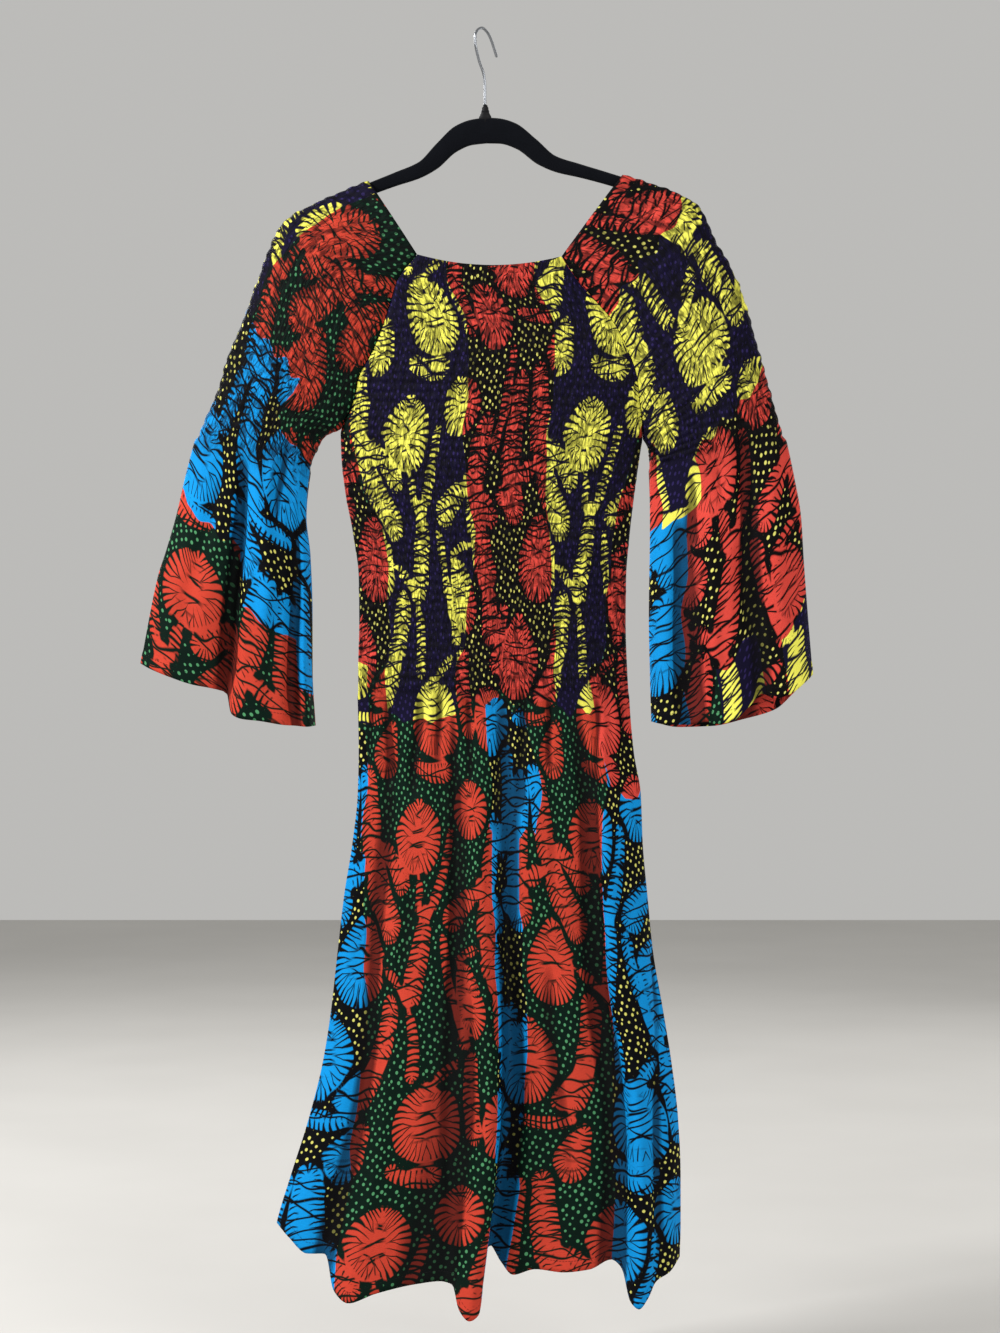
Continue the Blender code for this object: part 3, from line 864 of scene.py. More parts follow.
def sleeve_cloth(side, outer, inner, cuffs):
    """A raglan sleeve: an open band above the underarm, and a tube below it."""
    edges = SleeveLines(side, outer, inner)
    across = places(SLEEVE_COLUMNS)
    rows = np.arange((YOKE_ROWS + UPPER_ARM_ROWS) * ROW_STEPS + 1) / ROW_STEPS
    underarm = YOKE_ROWS * ROW_STEPS
    depths = smooth(SLEEVE["row"], SLEEVE["depth"], rows)
    sides = edges.outer.below(edges.marks[1]), edges.inner.below(edges.shirred)
    halves = []
    for facing, cuff in zip((-1, 1), cuffs):
        lines = [edges.row(row, across, depth) for row, depth in zip(rows, depths)]
        lines += flare(lines[-1], hem_curve(cuff, across), *sides, across, BELL_ROWS)[1:]
        halves.append(np.array([world(line, facing) for line in lines]))
    base = np.concatenate([halves[0][:, ::-1], halves[1][:, 1:]], axis=1)
    round_arm = np.concatenate([across[::-1], across[1:]])
    sign = np.concatenate([-np.ones(SLEEVE_COLUMNS), [0], np.ones(SLEEVE_COLUMNS)])
    widths = np.array([np.ptp(line[:, 0]) for line in base[: len(rows)]])
    cloth_across = sign * round_arm * cut_share(widths, BELL_ROWS) * SLEEVE_CUT_HALF
    bell = np.linspace(0, 1, BELL_ROWS + 1)[1:]
    hanging = edges.marks[1] + bell * (edges.outer.distance[-1] - edges.marks[1])
    outer_down = np.concatenate([edges.start(rows), hanging])
    seam = lengths(*base[: underarm + 1, 0].T)
    shirr_end = seam[-1] + edges.shirred
    upper_arm = np.linspace(seam[-1], shirr_end, UPPER_ARM_ROWS * ROW_STEPS + 1)[1:]
    hanging = shirr_end + bell * (edges.inner.distance[-1] - edges.shirred)
    inner_down = np.concatenate([seam, upper_arm, hanging])
    cloth_down = outer_down[:, None] * (1 - round_arm) + inner_down[:, None] * round_arm
    return Cloth(base, cloth_across, cloth_down, rows, side == "left", SLEEVE_CUT_HALF, underarm)


def spine(x, y, heading, length, bend, first, last):
    """The length of a spine's straight steps, and each one's middle, angle and radii at its ends."""
    count = max(int(length / SPINE_STEP), 2)
    step = length / count
    middles = (np.arange(count) + 0.5) / count
    angle = np.radians(heading + bend * middles)
    centre_x = x + np.cumsum(np.cos(angle) * step) - np.cos(angle) * step / 2
    centre_y = y + np.cumsum(np.sin(angle) * step) - np.sin(angle) * step / 2
    radii = first + (last - first) * np.arange(count + 1) / count
    return step, list(zip(centre_x, centre_y, angle, radii, radii[1:]))


def print_field(across, down, offset):
    """The motif nearest to each place on the flat cloth.

    Its five values are the distance from the outline (less than 0 inside), the ways along and off the spine,
    the radius there, and how much further the next motif's outline is.
    """
    across = across + offset[0]
    down = down + offset[1]
    edge = np.full(across.shape, 1e9)
    along = np.zeros(across.shape)
    off = np.zeros(across.shape)
    size = np.ones(across.shape)
    other = np.full(across.shape, 1e9)
    nearest = np.full(across.shape, -1)
    for number, (x, y, heading, length, bend, first, last) in enumerate(zip(*MOTIFS.values())):
        lean = (first - last) / length
        square = math.sqrt(1 - lean**2)
        step, steps = spine(x, y, heading, length, bend, first, last)
        for i, (spine_x, spine_y, angle, radius, next_radius) in enumerate(steps):
            dx = (across - spine_x + REPEAT[0] / 2) % REPEAT[0] - REPEAT[0] / 2
            dy = (down - spine_y + REPEAT[1] / 2) % REPEAT[1] - REPEAT[1] / 2
            ahead = dx * np.cos(angle) + dy * np.sin(angle) + step / 2
            aside = dx * np.sin(angle) - dy * np.cos(angle)
            held = np.clip(ahead - np.abs(aside) * lean / square, 0, step)
            radius_here = radius + (next_radius - radius) * held / step
            gap = np.hypot(ahead - held, aside) - radius_here
            turn = np.arctan2(ahead - held, np.abs(aside)) - math.asin(lean)
            nearer = gap < edge
            passed = np.where(nearer, edge, gap)
            from_other = np.where(nearer, nearest, number) != np.where(nearer, number, nearest)
            other = np.where(from_other, np.minimum(other, passed), other)
            nearest = np.where(nearer, number, nearest)
            edge = np.where(nearer, gap, edge)
            run = i * step + held + turn * max(radius, TURN_RADIUS) + MOTIF_STAGGER * number
            along = np.where(nearer, run, along)
            off = np.where(nearer, aside, off)
            size = np.where(nearer, radius_here, size)
    return edge, along, off, size, other - edge


def jumps(along, across, down):
    """Points where the count along a spine jumps to the next point, so that no teeth can be drawn there."""
    found = np.zeros(along.shape, bool)
    for axis in (0, 1):
        apart = np.hypot(np.diff(across, axis=axis), np.diff(down, axis=axis))
        jump = np.abs(np.diff(along, axis=axis)) > JUMP_RATE * apart + JUMP_LEAST
        found |= np.insert(jump, 0, False, axis) | np.insert(jump, jump.shape[axis], False, axis)
    return found


def block_distance(heading, cloth):
    """How far inside the blocks under a heading each place lies, in millimetres, less than 0 outside."""
    inside = np.full(cloth.across.shape, -1e3)
    down = cloth.down + BLOCK_RAGGED * (wander(cloth.across, BLOCK_RAGGED, seed=41) - 0.5)
    across = cloth.across + SIDE_RAGGED * (wander(down, SIDE_RAGGED * 3, seed=42) - 0.5)
    for top_left, top_right, bottom_left, bottom_right, top, bottom in BLOCKS.get(heading, []):
        share = np.clip((down - top) / (bottom - top), 0, 1)
        low = top_left + (bottom_left - top_left) * share
        high = top_right + (bottom_right - top_right) * share
        sides = [across - low * cloth.cut_width, high * cloth.cut_width - across, down - top, bottom - down]
        inside = np.maximum(inside, np.minimum.reduce(sides))
    return inside


def zipper(first, second, first_at, second_at):
    """Triangles between two chains of vertices, whose places along it may differ."""
    steps = [(a + b, 1) for a, b in zip(first_at, first_at[1:])]
    steps += [(a + b, 0) for a, b in zip(second_at, second_at[1:])]
    faces = []
    i = j = 0
    for _, along_first in sorted(steps):
        if along_first:
            faces.append((first[i], second[j], first[i + 1]))
            i += 1
        else:
            faces.append((first[i], second[j], second[j + 1]))
            j += 1
    return faces


def quads(numbers):
    """Faces over a whole grid of vertices."""
    corners = (numbers[:-1, :-1], numbers[1:, :-1], numbers[1:, 1:], numbers[:-1, 1:])
    return np.stack(corners, axis=-1).reshape(-1, 4)


def every(count, step, extra=()):
    """Every so many of the first count numbers, with the last one and any extra ones."""
    return np.array(sorted({*range(0, count, step), count - 1, *extra}))


def creased(name, cloth, normal):
    """How far the listed creases raise each place, in millimetres."""
    x, z = cloth.base[..., 0], cloth.base[..., 2]
    raised = np.zeros(x.shape)
    for side, label in ((-1, "front"), (1, "back")):
        facing = np.clip(normal[..., 1] * side * CREASE_TURN, 0, 1)
        for x_top, z_top, x_bottom, z_bottom, sway, width, depth in CREASES.get(f"{name} {label}", []):
            share = np.clip((z_top - z) / (z_top - z_bottom), 0, 1)
            middle = x_top + (x_bottom - x_top) * share + sway * np.sin(np.pi * 2 * share)
            ends = np.clip(share * (1 - share) * CREASE_ENDS, 0, 1)
            wide = width * (CREASE_WIDTH + CREASE_WIDENING * share)
            raised -= facing * depth * ends * np.exp(-(((x - middle) / wide) ** 2))
    return raised


def hollows(surface, normal):
    """How deep each place lies below the cloth on both sides of it, near and further off, in millimetres: the
    depth by which the material paints shade into the hollows of folds.
    """
    depth = np.zeros(surface.shape[:2])
    for reach, share in ((HOLLOW_REACH, 1.0), (3 * HOLLOW_REACH, 0.8)):
        padded = np.pad(surface, ((0, 0), (reach, reach), (0, 0)), mode="edge")
        total = np.cumsum(np.pad(padded, ((0, 0), (1, 0), (0, 0))), axis=1)
        span = 2 * reach + 1
        around = (total[:, span:] - total[:, :-span]) / span
        depth += share * ((around - surface) * normal).sum(axis=2)
    return depth


def inner_offset(raised, rows, columns):
    """How far the plain inside lies from the cloth's middle, to stay behind the deepest crease nearby."""
    offset = np.empty((len(rows), len(columns)))
    for i, row in enumerate(rows):
        reach = 0 if row == rows[-1] else INNER_ROW_STEP
        lines = raised[max(row - reach, 0) : row + reach + 1]
        for j, column in enumerate(columns):
            near = lines[:, max(column - INNER_COLUMN_STEP, 0) : column + INNER_COLUMN_STEP + 1]
            offset[i, j] = min(near.min(), 0.0) - WALL
    offset[:, [0, -1]] = np.minimum(offset[:, :1], offset[:, -1:])
    return offset


def wavering_rows(cloth):
    """Each place's row, once the rows of elastic waver a little."""
    waver = wander(cloth.across, WAVER_PITCH, seed=11) + wander(cloth.across, FINE_WAVER_PITCH, seed=12) - 1
    return cloth.row + cloth.shirred * ROW_WAVER * waver


def pleats(cloth, row):
    """The small pleats' height, as a share of the highest. They start afresh below each row of elastic."""
    across = cloth.across / PLEAT_PITCH
    down = cloth.down / PLEAT_LENGTH
    band = np.floor(row)
    small = crinkle(across, down + BAND_SHIFT * band, seed=21)
    fine = crinkle(across / FINE_PLEAT, down * 2 + FINE_BAND_SHIFT * band, seed=22)
    return PUFF_LEAST + (1 - PUFF_LEAST) * ((1 - FINE_SHARE) * small + FINE_SHARE * fine)


def puffs(cloth, row, lobes):
    """How far the cloth swells between its rows of elastic, in millimetres."""
    return cloth.shirred * PUFF * np.sin(np.pi * (row - np.floor(row))) ** PUFF_POWER * lobes


def gathers(cloth):
    """How far the loose cloth below the last row of elastic stands out in gathers, in millimetres."""
    share = wander(cloth.across, GATHER_PITCH, seed=31) ** 2 * np.exp(-cloth.below / GATHER_FADE)
    return (1 - cloth.shirred) * GATHER_HEIGHT * share * np.minimum(cloth.below / GATHER_START, 1)


def turned_hem(from_hem):
    """How far the hem's second layer raises the cloth, with a soft step at its top and at its fold."""
    top = np.clip((HEM_WIDTH - from_hem) / HEM_STEP, 0, 1)
    return HEM_RAISE * top * np.clip(from_hem + 0.3, 0, 1)


def seam_fade(base):
    """A share at each place, which falls to nothing towards the seams so that the cloths meet there."""
    spacing = np.linalg.norm(np.diff(base, axis=1), axis=2)
    from_first = np.cumsum(np.pad(spacing, ((0, 0), (1, 0))), axis=1)
    return np.clip(np.minimum(from_first, from_first[:, -1:] - from_first) / SEAM_FADE, 0, 1)


def skin(cloth, inner_rows, inner_columns):
    """Faces over a cloth's outside and its coarser inside, joined by a rim along every cut edge."""
    rows, columns = cloth.down.shape
    outer = np.arange(rows * columns).reshape(rows, columns)
    inner = rows * columns + np.arange(len(inner_rows) * len(inner_columns)).reshape(len(inner_rows), -1)
    open_rows = rows
    open_inner = len(inner_rows)
    if cloth.welded_from is not None:
        weld = list(inner_rows).index(cloth.welded_from)
        outer[cloth.welded_from :, -1] = outer[cloth.welded_from :, 0]
        inner[weld:, -1] = inner[weld:, 0]
        open_rows = cloth.welded_from + 1
        open_inner = weld + 1
    faces = quads(outer).tolist() + quads(inner)[:, ::-1].tolist()
    rim_rows = np.arange(open_rows), inner_rows[:open_inner]
    for end in (0, -1):
        faces += zipper(outer[end], inner[end], np.arange(columns), inner_columns)
        faces += zipper(outer[:open_rows, end], inner[:open_inner, end], *rim_rows)
    faces = [[n for i, n in enumerate(face) if n != face[i - 1]] for face in faces]
    return [face for face in faces if len(face) > 2]


def print_values(name, cloth, row):
    """What the material needs at each place, as attributes with three numbers each."""
    folded = cloth.across / SLICE - np.floor(cloth.across / SLICE) - 0.5
    tucked = cloth.across - cloth.shirred * SLICE * TUCK * folded
    edge, along, off, size, apart = print_field(tucked, cloth.down, REPEAT_OFFSET[name])
    apart = np.where(jumps(along, tucked, cloth.down), 0, apart)
    return {
        "cloth": [cloth.across * MM, cloth.down * MM, row],
        "motif": [edge - MOTIF_SWELL[name], along, off],
        "blocks": [block_distance(f"{name} {colour}", cloth) for colour in BLOCK_COLOURS],
        "place": [np.maximum(cloth.shirred, np.exp(-cloth.below / SHIRRED_FADE)), size, cloth.from_hem],
        "fold": [apart],
    }


def smooth_mesh(name, points, faces):
    """A smooth mesh over points in millimetres, with its faces turned outwards."""
    mesh = bpy.data.meshes.new(name)
    mesh.from_pydata((points * MM).tolist(), [], faces)
    shape = bmesh.new()
    shape.from_mesh(mesh)
    bmesh.ops.recalc_face_normals(shape, faces=shape.faces)
    shape.to_mesh(mesh)
    shape.free()
    mesh.polygons.foreach_set("use_smooth", np.ones(len(mesh.polygons), bool))
    return mesh


def cloth_object(name, cloth):
    """One cloth: a fine outside with its gathers, a plain inside, and what its material needs."""
    normal = outward(cloth.base, cloth.welded_from)
    if cloth.welded_from is None:
        sides = normal[YOKE_ROWS * ROW_STEPS :, [0, -1]]
        sides[..., 1] = 0
        normal[YOKE_ROWS * ROW_STEPS :, [0, -1]] = sides / np.linalg.norm(sides, axis=2, keepdims=True)
    row = wavering_rows(cloth)
    lobes = pleats(cloth, row)
    fade = seam_fade(cloth.base)
    large = (gathers(cloth) + creased(name, cloth, normal)) * fade
    raised = large + (puffs(cloth, row, lobes) + turned_hem(cloth.from_hem)) * fade
    values = print_values(name, cloth, row)
    values["place"][0] *= fade
    # The hollows' depth goes to the material, which paints shade into them.
    values["fold"] += [lobes, hollows(cloth.base + normal * large[..., None], normal)]

    inner_rows = every(len(row), INNER_ROW_STEP, [cloth.welded_from or 0])
    inner_columns = every(row.shape[1], INNER_COLUMN_STEP)
    inner = np.ix_(inner_rows, inner_columns)
    outside = cloth.base + normal * raised[..., None]
    inside = cloth.base[inner] + normal[inner] * inner_offset(raised, inner_rows, inner_columns)[..., None]
    faces = skin(cloth, inner_rows, inner_columns)
    used = np.unique(np.concatenate(faces))
    number = dict(zip(used.tolist(), range(len(used))))
    faces = [[number[corner] for corner in face] for face in faces]
    points = np.concatenate([outside.reshape(-1, 3), inside.reshape(-1, 3)])[used]
    mesh = smooth_mesh(name, points, faces)
    for label, grids in values.items():
        grid = np.stack(grids, axis=-1)
        flat = np.concatenate([grid.reshape(-1, 3), grid[inner].reshape(-1, 3)])[used]
        layer = mesh.attributes.new(label, "FLOAT_VECTOR", "POINT")
        layer.data.foreach_set("vector", flat.astype(np.float32).ravel())
    return shown(name + "_cloth", mesh)


def shown(name, data):
    """An object in the scene."""
    made = bpy.data.objects.new(name, data)
    bpy.context.scene.collection.objects.link(made)
    return made


def lofted(name, rings):
    """A closed skin over rings of points in millimetres."""
    rings = np.array(rings)
    numbers = np.arange(rings.shape[0] * rings.shape[1]).reshape(rings.shape[:2])
    wrapped = np.concatenate([numbers, numbers[:, :1]], axis=1)
    faces = quads(wrapped).tolist() + [numbers[0].tolist(), numbers[-1][::-1].tolist()]
    return shown(name, smooth_mesh(name, rings.reshape(-1, 3), faces))


def turns(sides):
    """Angles that go once round."""
    return np.linspace(0, 2 * np.pi, sides, endpoint=False)


def hanger():
    """The flocked bar from tip to tip."""
    turn = turns(HANGER_SIDES)
    tip = np.linspace(ARM_TIP, HANGER["out"][-1], ARM_TIP_STEPS)
    outs = np.concatenate([np.linspace(0, ARM_TIP - 1, ARM_STEPS), tip])
    tops = smooth(HANGER["out"], HANGER["top"], outs)
    bottoms = smooth(HANGER["out"], HANGER["bottom"], outs)
    rings = []
    for side, indices in (("left", range(len(outs) - 1, 0, -1)), ("right", range(len(outs)))):
        for i in indices:
            half = (bottoms[i] - tops[i]) / 2
            thick = min(HANGER_THICKNESS / 2, half)
            straight = (half - thick) * np.sign(np.round(np.cos(turn), 6))
            drop = tops[i] + half - thick * np.cos(turn) - straight
            x, hang = hanger_point(side, outs[i], drop)
            rings.append(world((x, thick * np.sin(turn), hang), 1))
    return lofted("hanger_flocked_bar", rings)


def collar():
    """The black collar that holds the wire, with two shallow rings round it."""
    turn = turns(HANGER_SIDES)
    rings = []
    for above, radius, squash in zip(*COLLAR.values()):
        x = HANGER_APEX[0] + radius * np.cos(turn)
        rings.append(world((x, radius * squash * np.sin(turn), HANGER_APEX[1] - above), 1))
    return lofted("hanger_collar", rings)


def hook():
    """The wire hook, with a rounded tip."""
    along = lengths(HOOK["x"], HOOK["forward"], HOOK["drop"])
    at = np.linspace(0, along[-1], WIRE_STEPS)
    path = world([smooth(along, HOOK[name], at) for name in ("x", "forward", "drop")], -1)
    heading = np.gradient(path, axis=0)
    heading /= np.linalg.norm(heading, axis=1, keepdims=True)
    side = np.cross(heading, OFF_WIRE)
    side /= np.linalg.norm(side, axis=1, keepdims=True)
    other = np.cross(heading, side)
    turn = turns(WIRE_SIDES)[:, None]
    stations = [(place, WIRE_RADIUS, one, two) for place, one, two in zip(path, side, other)]
    for step in WIRE_TIP:
        tip = path[-1] + heading[-1] * WIRE_RADIUS * step
        stations.append((tip, WIRE_RADIUS * math.sqrt(1 - step**2), side[-1], other[-1]))
    rings = []
    for place, radius, one, two in stations:
        rings.append(place + radius * (np.cos(turn) * one + np.sin(turn) * two))
    return lofted("hook_bright_wire", rings)


def linear(red, green, blue):
    """A shader colour from the 0 to 255 values of a screen colour."""
    share = np.array([red, green, blue]) / 255
    value = np.where(share <= 0.04045, share / 12.92, ((share + 0.055) / 1.055) ** 2.4)
    return (*(float(v) for v in value), 1.0)


TOOTH_PITCH = 6.1  # along a motif's outline, in millimetres
TOOTH_REACH = 4.4  # how far the shortest teeth stand out
MOTIF_INSET = 5.2  # how far inside the outlines in MOTIFS the teeth start
BLUE_SWELL = 3.8  # how much larger the motifs of the blue blocks are
DOTS_PER_METRE = 132.0
STITCHES_PER_METRE = 330.0
STITCH_LINE = 10.5  # above the hem, in millimetres

RED = linear(203, 66, 48)
DEEP_RED = linear(218, 72, 61)
BLUE = linear(12, 147, 222)
YELLOW = linear(251, 246, 98)
GREEN_GROUND = linear(3, 25, 17)
BLUE_GROUND = linear(3, 4, 8)
NAVY_GROUND = linear(16, 12, 40)
BLACK_GROUND = linear(4, 3, 4)
GREEN_DOT = linear(80, 148, 100)
CREAM_DOT = linear(222, 218, 112)
NAVY_DOT = linear(44, 35, 86)
SHADE = linear(8, 7, 9)
WORN = linear(13, 10, 12)
THREAD = linear(30, 26, 30)


def arithmetic(operation, backwards=False):
    """A method that adds one node of arithmetic to a value's material."""

    def method(self, *others):
        values = (*others, self) if backwards else (self, *others)
        return self.shader.math(operation, *values)

    return method


class Value:
    """A number, vector or colour that a material works out. Arithmetic with it adds nodes to the material."""

    def __init__(self, shader, socket):
        self.shader = shader
        self.socket = socket

    __add__ = __radd__ = arithmetic("ADD")
    __mul__ = __rmul__ = arithmetic("MULTIPLY")
    __sub__ = arithmetic("SUBTRACT")
    __rsub__ = arithmetic("SUBTRACT", backwards=True)
    __truediv__ = arithmetic("DIVIDE")
    __pow__ = arithmetic("POWER")
    __abs__ = arithmetic("ABSOLUTE")

    def clamped(self):
        """The same number, held between 0 and 1."""
        return self.shader.math("ADD", self, 0.0, clamp=True)

    def from_half(self):
        """How far its fraction is from a half."""
        return abs(self.shader.math("FRACT", self) - 0.5)


class Shader:
    """One material, whose nodes take plain values or the values that other nodes work out."""

    def __init__(self, name, roughness, **constants):
        self.material = bpy.data.materials.new(name)
        self.material.use_nodes = True
        self.tree = self.material.node_tree
        self.surface = self.tree.nodes["Principled BSDF"]
        self.fill(self.surface, Roughness=roughness, **constants)

    def feed(self, socket, value):
        if isinstance(value, Value):
            self.tree.links.new(value.socket, socket)
        else:
            socket.default_value = value

    def fill(self, node, **inputs):
        """Feeds a node's inputs, by their names with _ for each space."""
        for label, value in inputs.items():
            self.feed(node.inputs[label.replace("_", " ")], value)

    def node(self, kind, **inputs):
        made = self.tree.nodes.new("ShaderNode" + kind)
        self.fill(made, **inputs)
        return made

    def math(self, operation, *values, clamp=False):
        node = self.node("Math")
        node.operation = operation
        node.use_clamp = clamp
        for socket, value in zip(node.inputs, values):
            self.feed(socket, value)
        return Value(self, node.outputs[0])

    def most(self, first, *others):
        """The greatest of some values."""
        for other in others:
            first = self.math("MAXIMUM", first, other)
        return first

    def least(self, first, *others):
        """The smallest of some values."""
        for other in others:
            first = self.math("MINIMUM", first, other)
        return first

    def mix(self, factor, first, second):
        node = self.node("Mix")
        node.data_type = "RGBA"
        for number, value in ((0, factor), (6, first), (7, second)):
            self.feed(node.inputs[number], value)
        return Value(self, node.outputs[2])

    def attribute(self, name):
        """The three numbers of a mesh attribute."""
        node = self.node("Attribute")
        node.attribute_name = name
        parts = self.node("SeparateXYZ", Vector=Value(self, node.outputs["Vector"]))
        return [Value(self, part) for part in parts.outputs]

    def vector(self, x, y):
        return Value(self, self.node("CombineXYZ", X=x, Y=y).outputs[0])

    def noise(self, vector, scale, detail):
        return Value(self, self.node("TexNoise", Vector=vector, Scale=scale, Detail=detail).outputs["Fac"])

    def place(self):
        """A point's place on its own object."""
        return Value(self, self.node("TexCoord").outputs["Object"])

    def completed(self, colour, height, distance, strength=1.0):
        """The material, once it has its colour and its relief."""
        bump = self.node("Bump", Strength=strength, Distance=distance, Height=height)
        self.fill(self.surface, Base_Color=colour, Normal=Value(self, bump.outputs[0]))
        return self.material


class WaxPrint(Shader):
    """Toothed fronds and fans on dotted grounds, with elastic, stitches and weave, and painted shade among
    the gathers and in the hollows of folds.
    """

    def __init__(self):
        super().__init__("wax_print_cotton", 0.66, Specular_IOR_Level=0.06)
        self.across, self.down, self.row = self.attribute("cloth")
        edge, self.along, self.off = self.attribute("motif")
        self.blocks = self.attribute("blocks")
        self.shirred, self.size, self.from_hem = self.attribute("place")
        self.apart, self.lobes, self.hollow = self.attribute("fold")
        self.flat = self.vector(self.across, self.down)
        in_blue = (self.blocks[0] * 0.4 + 0.5).clamped()
        self.edge = edge + MOTIF_INSET - 0.6 * self.shirred - BLUE_SWELL * in_blue
        self.fan = (self.size * 0.1 - 1.7).clamped()

    def streaks(self, across, down, detail):
        """Noise with so many turns a metre across the cloth and down it."""
        return self.noise(self.vector(self.across * across, self.down * down), 1.0, detail)

    def vein(self, pitch, slant, scale):
        """Thin wavy lines that cross the cloth, a pitch apart."""
        place = (self.across * slant + self.down) * (1000 / pitch) + 1.15 * self.noise(self.flat, scale, 0.0)
        return (1.7 - 1.05 * pitch * place.from_half()).clamped()

    def teeth(self):
        """How much the teeth cover, how far they reach, and a random share for each pair of them."""
        lag = (self.off * self.off + 50.0) ** 0.5 * (0.45 - 0.22 * self.fan)
        phase = (self.along - lag + 0.12 * self.off) * (1 / TOOTH_PITCH) + self.noise(self.flat, 38.0, 1.0)
        pair = phase * 0.5
        place = self.math("FRACT", pair) * 2.0
        toss = self.node("TexWhiteNoise")
        toss.noise_dimensions = "1D"
        self.fill(toss, W=self.math("FLOOR", pair))
        chance = Value(self, toss.outputs["Value"])
        side = self.math("ROUND", chance) * 2.0 - 1.0
        merged = (-0.45 - 0.085 * self.edge).clamped() * side
        nearest = self.least(abs(place - 1.0 - merged), place, 2.0 - place)
        reach = 2.0 * self.fan + TOOTH_REACH + chance
        wedge = ((self.edge + 6.0) / (reach + 6.0)).clamped() ** 1.2
        thick = 0.5 * self.noise(self.flat, 90.0, 0.0) + 0.5 + 0.25 * self.shirred
        gap = wedge * (TOOTH_PITCH * 0.34 - 1.1) + thick
        cover = (1.2 * (nearest * TOOTH_PITCH - gap) + 0.5).clamped()
        return cover, reach, chance

    def motifs(self):
        """How much the motifs cover, and how far their teeth reach."""
        cover, reach, chance = self.teeth()
        cut = chance * (0.2 * self.shirred + 0.26) + 0.26 - 0.02 * self.fan
        core = (5.0 * (self.edge / self.size * -1.0 - cut)).clamped()
        cover = self.most(cover, core)
        joined = (2.2 - 0.25 * self.apart).clamped()
        solid = (1.5 - 0.8 * self.edge).clamped()
        cover = cover + joined * (solid - cover)
        close = self.vein(14.0, 0.1, 30.0) * self.most(self.shirred, self.fan)
        veins = self.most(self.vein(17.0, 0.16, 27.0), self.vein(24.0, -0.2, 33.0), close)
        cover = cover * (1.0 - veins * self.most(core, 1.0 - self.fan))
        return cover * (1.5 * (reach - self.edge)).clamped(), reach

    def dots(self, reach):
        """How much the ground's dots cover, clear of the motifs."""
        turned = self.vector(self.across * 0.86 + self.down * 0.51, self.down * 0.86 - self.across * 0.51)
        cells = self.node("TexVoronoi")
        cells.voronoi_dimensions = "2D"
        self.fill(cells, Vector=turned, Scale=DOTS_PER_METRE, Randomness=0.48)
        uneven = self.node("SeparateColor", Color=Value(self, cells.outputs["Color"]))
        clear = (0.35 * (self.edge - (reach + 0.4))).clamped()
        radius = clear * (0.15 + 0.1 * Value(self, uneven.outputs["Red"]))
        return (14.0 * (radius - Value(self, cells.outputs["Distance"])) + 0.5).clamped()

    def by_block(self, rest, blue, yellow, red):
        """The colour of a place from the block that it lies in."""
        colour = rest
        for block, within in zip(self.blocks, (blue, yellow, red)):
            colour = self.mix((1.6 * block + 0.5).clamped(), colour, within)
        return colour

    def shade(self, streaks, pleats):
        """How dark the painted shade makes a place among the gathers and in the hollows of the folds."""
        groove = (7.0 * self.row.from_half() - 2.75).clamped()
        fold_line = (1.25 - 26.0 * abs(self.streaks(74.0, 34.0, 1.5) - 0.5)).clamped()
        # Painted shade: streaks, elastic grooves, crinkle lines, fine pleat lines and low places between
        # pleats are painted dark.
        gathered = self.most(
            0.68 * (4.4 - 9.0 * streaks).clamped(),
            0.5 * groove,
            0.8 * fold_line,
            (2.7 - 6.0 * pleats).clamped(),
            0.75 * (1.7 - 3.4 * self.lobes).clamped(),
        )
        # Painted shade in the hollows of folds, darker where they lie deeper.
        hollow = self.least(0.38 * self.most(self.hollow, 0.0) ** 0.7, 0.78)
        return self.most(gathered * self.shirred, hollow)

    def stitches(self):
        """How much a place lies on the hem's line of stitches."""
        dash = (4.4 - 12.0 * (self.across * STITCHES_PER_METRE).from_half()).clamped()
        return dash * (1.0 - 2.0 * abs(self.from_hem - STITCH_LINE)).clamped()

    def made(self):
        """The material."""
        cover, reach = self.motifs()
        ground = self.by_block(GREEN_GROUND, BLUE_GROUND, NAVY_GROUND, BLACK_GROUND)
        dot_colour = self.by_block(GREEN_DOT, CREAM_DOT, NAVY_DOT, CREAM_DOT)
        colour = self.mix(self.dots(reach), ground, dot_colour)
        colour = self.mix(cover, colour, self.by_block(RED, BLUE, YELLOW, DEEP_RED))
        streaks = self.streaks(130.0, 66.0, 2.0)
        pleats = self.streaks(410.0, 70.0, 1.0)
        # Painted shade: darkens the colour among the gathers and in the hollows of folds.
        colour = self.mix(self.shade(streaks, pleats), colour, SHADE)
        slub = self.streaks(260.0, 900.0, 2.0)
        worn = 0.22 * slub + 0.30 * self.noise(self.flat, 14.0, 3.0) - 0.12
        colour = self.mix(worn.clamped(), colour, WORN)
        stitch = self.stitches()
        colour = self.mix(0.7 * stitch, colour, THREAD)
        weave = self.streaks(2400.0, 2400.0, 0.0)
        gathered = (streaks + 0.4 * pleats) * self.shirred
        return self.completed(colour, gathered + 0.08 * slub + 0.05 * weave - 0.2 * stitch, 0.0022)


def flock_material():
    """Black velvet flock: short dense fibres that catch light at the edges."""
    shader = Shader("black_flock", 0.95, Sheen_Weight=0.07, Sheen_Roughness=0.45, Specular_IOR_Level=0.06)
    fibres = shader.noise(shader.place(), 2600.0, 2.0)
    nap = shader.noise(shader.place(), 70.0, 3.0)
    tint = (0.6 * fibres + 0.4 * nap).clamped()
    return shader.completed(shader.mix(tint, linear(3, 4, 7), linear(13, 15, 21)), fibres, 0.0005, 0.7)


def plastic_material():
    """The collar's black plastic."""
    shader = Shader("black_collar_plastic", 0.6, Specular_IOR_Level=0.2)
    grain = shader.noise(shader.place(), 900.0, 2.0)
    return shader.completed(shader.mix(grain, linear(7, 7, 9), linear(15, 15, 18)), grain, 0.0002, 0.4)


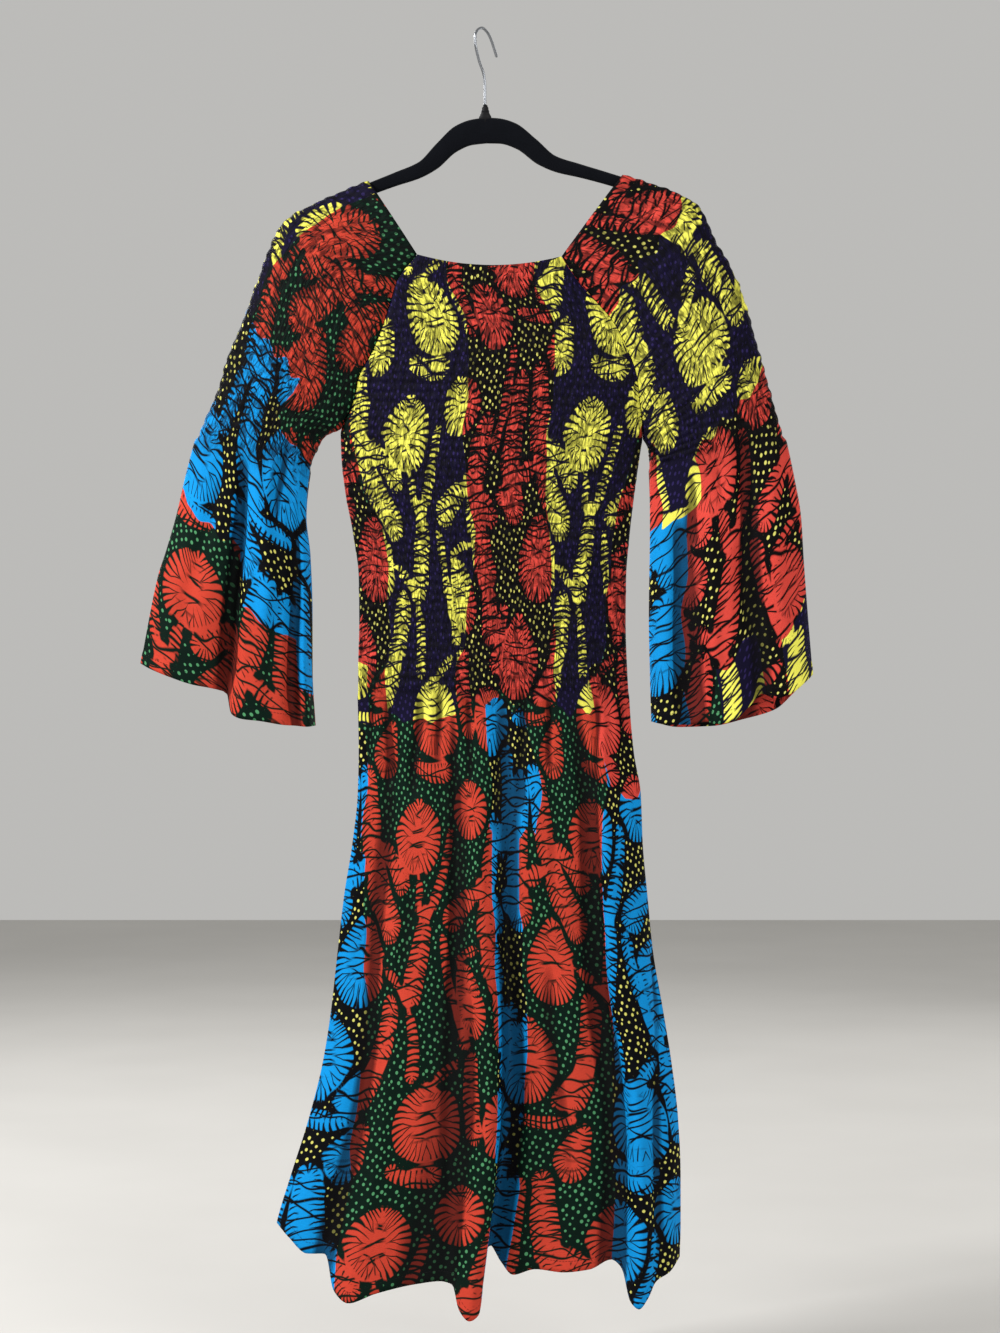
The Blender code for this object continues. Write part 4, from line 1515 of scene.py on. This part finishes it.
def wire_material():
    """Bright plated wire with fine draw marks."""
    shader = Shader("bright_hook_wire", 0.2, Metallic=1.0)
    marks = shader.noise(shader.place(), 1500.0, 3.0)
    shader.fill(shader.surface, Roughness=0.14 * marks + 0.24)
    colour = shader.mix(marks, linear(118, 121, 126), linear(160, 163, 168))
    return shader.completed(colour, marks, 0.00008, 0.5)


def pale_floor():
    """A pale floor below the hem."""
    corners = [(x * FLOOR_HALF, y * FLOOR_HALF, -FLOOR_DROP) for x, y in ((-1, -1), (1, -1), (1, 1), (-1, 1))]
    mesh = bpy.data.meshes.new("floor")
    mesh.from_pydata(corners, [], [(0, 1, 2, 3)])
    floor = shown("floor", mesh)
    shader = Shader("pale_floor", 0.85)
    tone = shader.noise(shader.place(), 3.0, 3.0)
    shader.fill(shader.surface, Base_Color=shader.mix(tone, linear(186, 184, 180), linear(196, 194, 190)))
    mesh.materials.append(shader.material)


def studio():
    """Soft studio lights and a pale surround."""
    for name, place, size, power in (
        ("key", (-2.1, -1.1, 1.1), 0.6, 92.0),
        ("fill", (1.6, -2.5, 0.3), 1.6, 41.0),
        ("back_left", (-1.6, 2.0, 0.9), 0.9, 46.0),
        ("back_right", (1.8, 2.2, 0.2), 1.8, 16.0),
    ):
        light = bpy.data.lights.new(name, "AREA")
        light.size = size
        light.energy = power
        lamp = shown(name, light)
        lamp.location = place
        aim = LIGHT_TARGET - np.array(place)
        tilt = math.atan2(math.hypot(aim[0], aim[1]), -aim[2])
        lamp.rotation_euler = (tilt, 0, math.atan2(aim[0], -aim[1]) + math.pi)
    room = bpy.data.worlds.new("pale_room")
    room.use_nodes = True
    background = room.node_tree.nodes["Background"]
    background.inputs["Color"].default_value = linear(236, 235, 232)
    background.inputs["Strength"].default_value = 0.6
    bpy.context.scene.world = room


def camera():
    """A camera square to the dress that spans the whole part."""
    data = bpy.data.cameras.new("camera")
    data.sensor_width = SENSOR
    data.lens = CAMERA_DISTANCE * SENSOR / (PHOTO_WIDTH * PHOTO_SHAPE)
    eye = shown("camera", data)
    eye.location = (PHOTO_CENTRE[0], -CAMERA_DISTANCE, PHOTO_CENTRE[1])
    eye.rotation_euler = (math.pi / 2, 0, 0)
    bpy.context.scene.camera = eye


def dressed(piece, node, material):
    """A piece that stands for a CAD node, with its material."""
    piece.data.materials.append(material)
    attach(piece, "root")
    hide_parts(node)


def dress():
    """The four cloths of the dress."""
    front = cloth_object("dress_front", body_cloth(FRONT_HEM, -1, FRONT_DIP, FRONT_CUT_WIDTH))
    back = cloth_object("dress_back", body_cloth(BACK_HEM, 1, BACK_DIP, BACK_CUT_WIDTH))
    left = cloth_object("sleeve_left", sleeve_cloth("left", LEFT_OUTER, LEFT_INNER, LEFT_CUFFS))
    right = cloth_object("sleeve_right", sleeve_cloth("right", RIGHT_OUTER, RIGHT_INNER, RIGHT_CUFFS))
    fabric = WaxPrint().made()
    cloths = ((front, "dress_front"), (back, "dress_back"), (left, "sleeve_left"), (right, "sleeve_right"))
    for piece, node in cloths:
        dressed(piece, node, fabric)


def main():
    bpy.context.scene.view_settings.view_transform = "Standard"
    camera()
    pale_floor()
    studio()
    dress()
    dressed(hanger(), "hanger_body", flock_material())
    cuff = collar()
    cuff.data.materials.append(plastic_material())
    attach(cuff, "root")
    dressed(hook(), "hanger_hook", wire_material())


main()
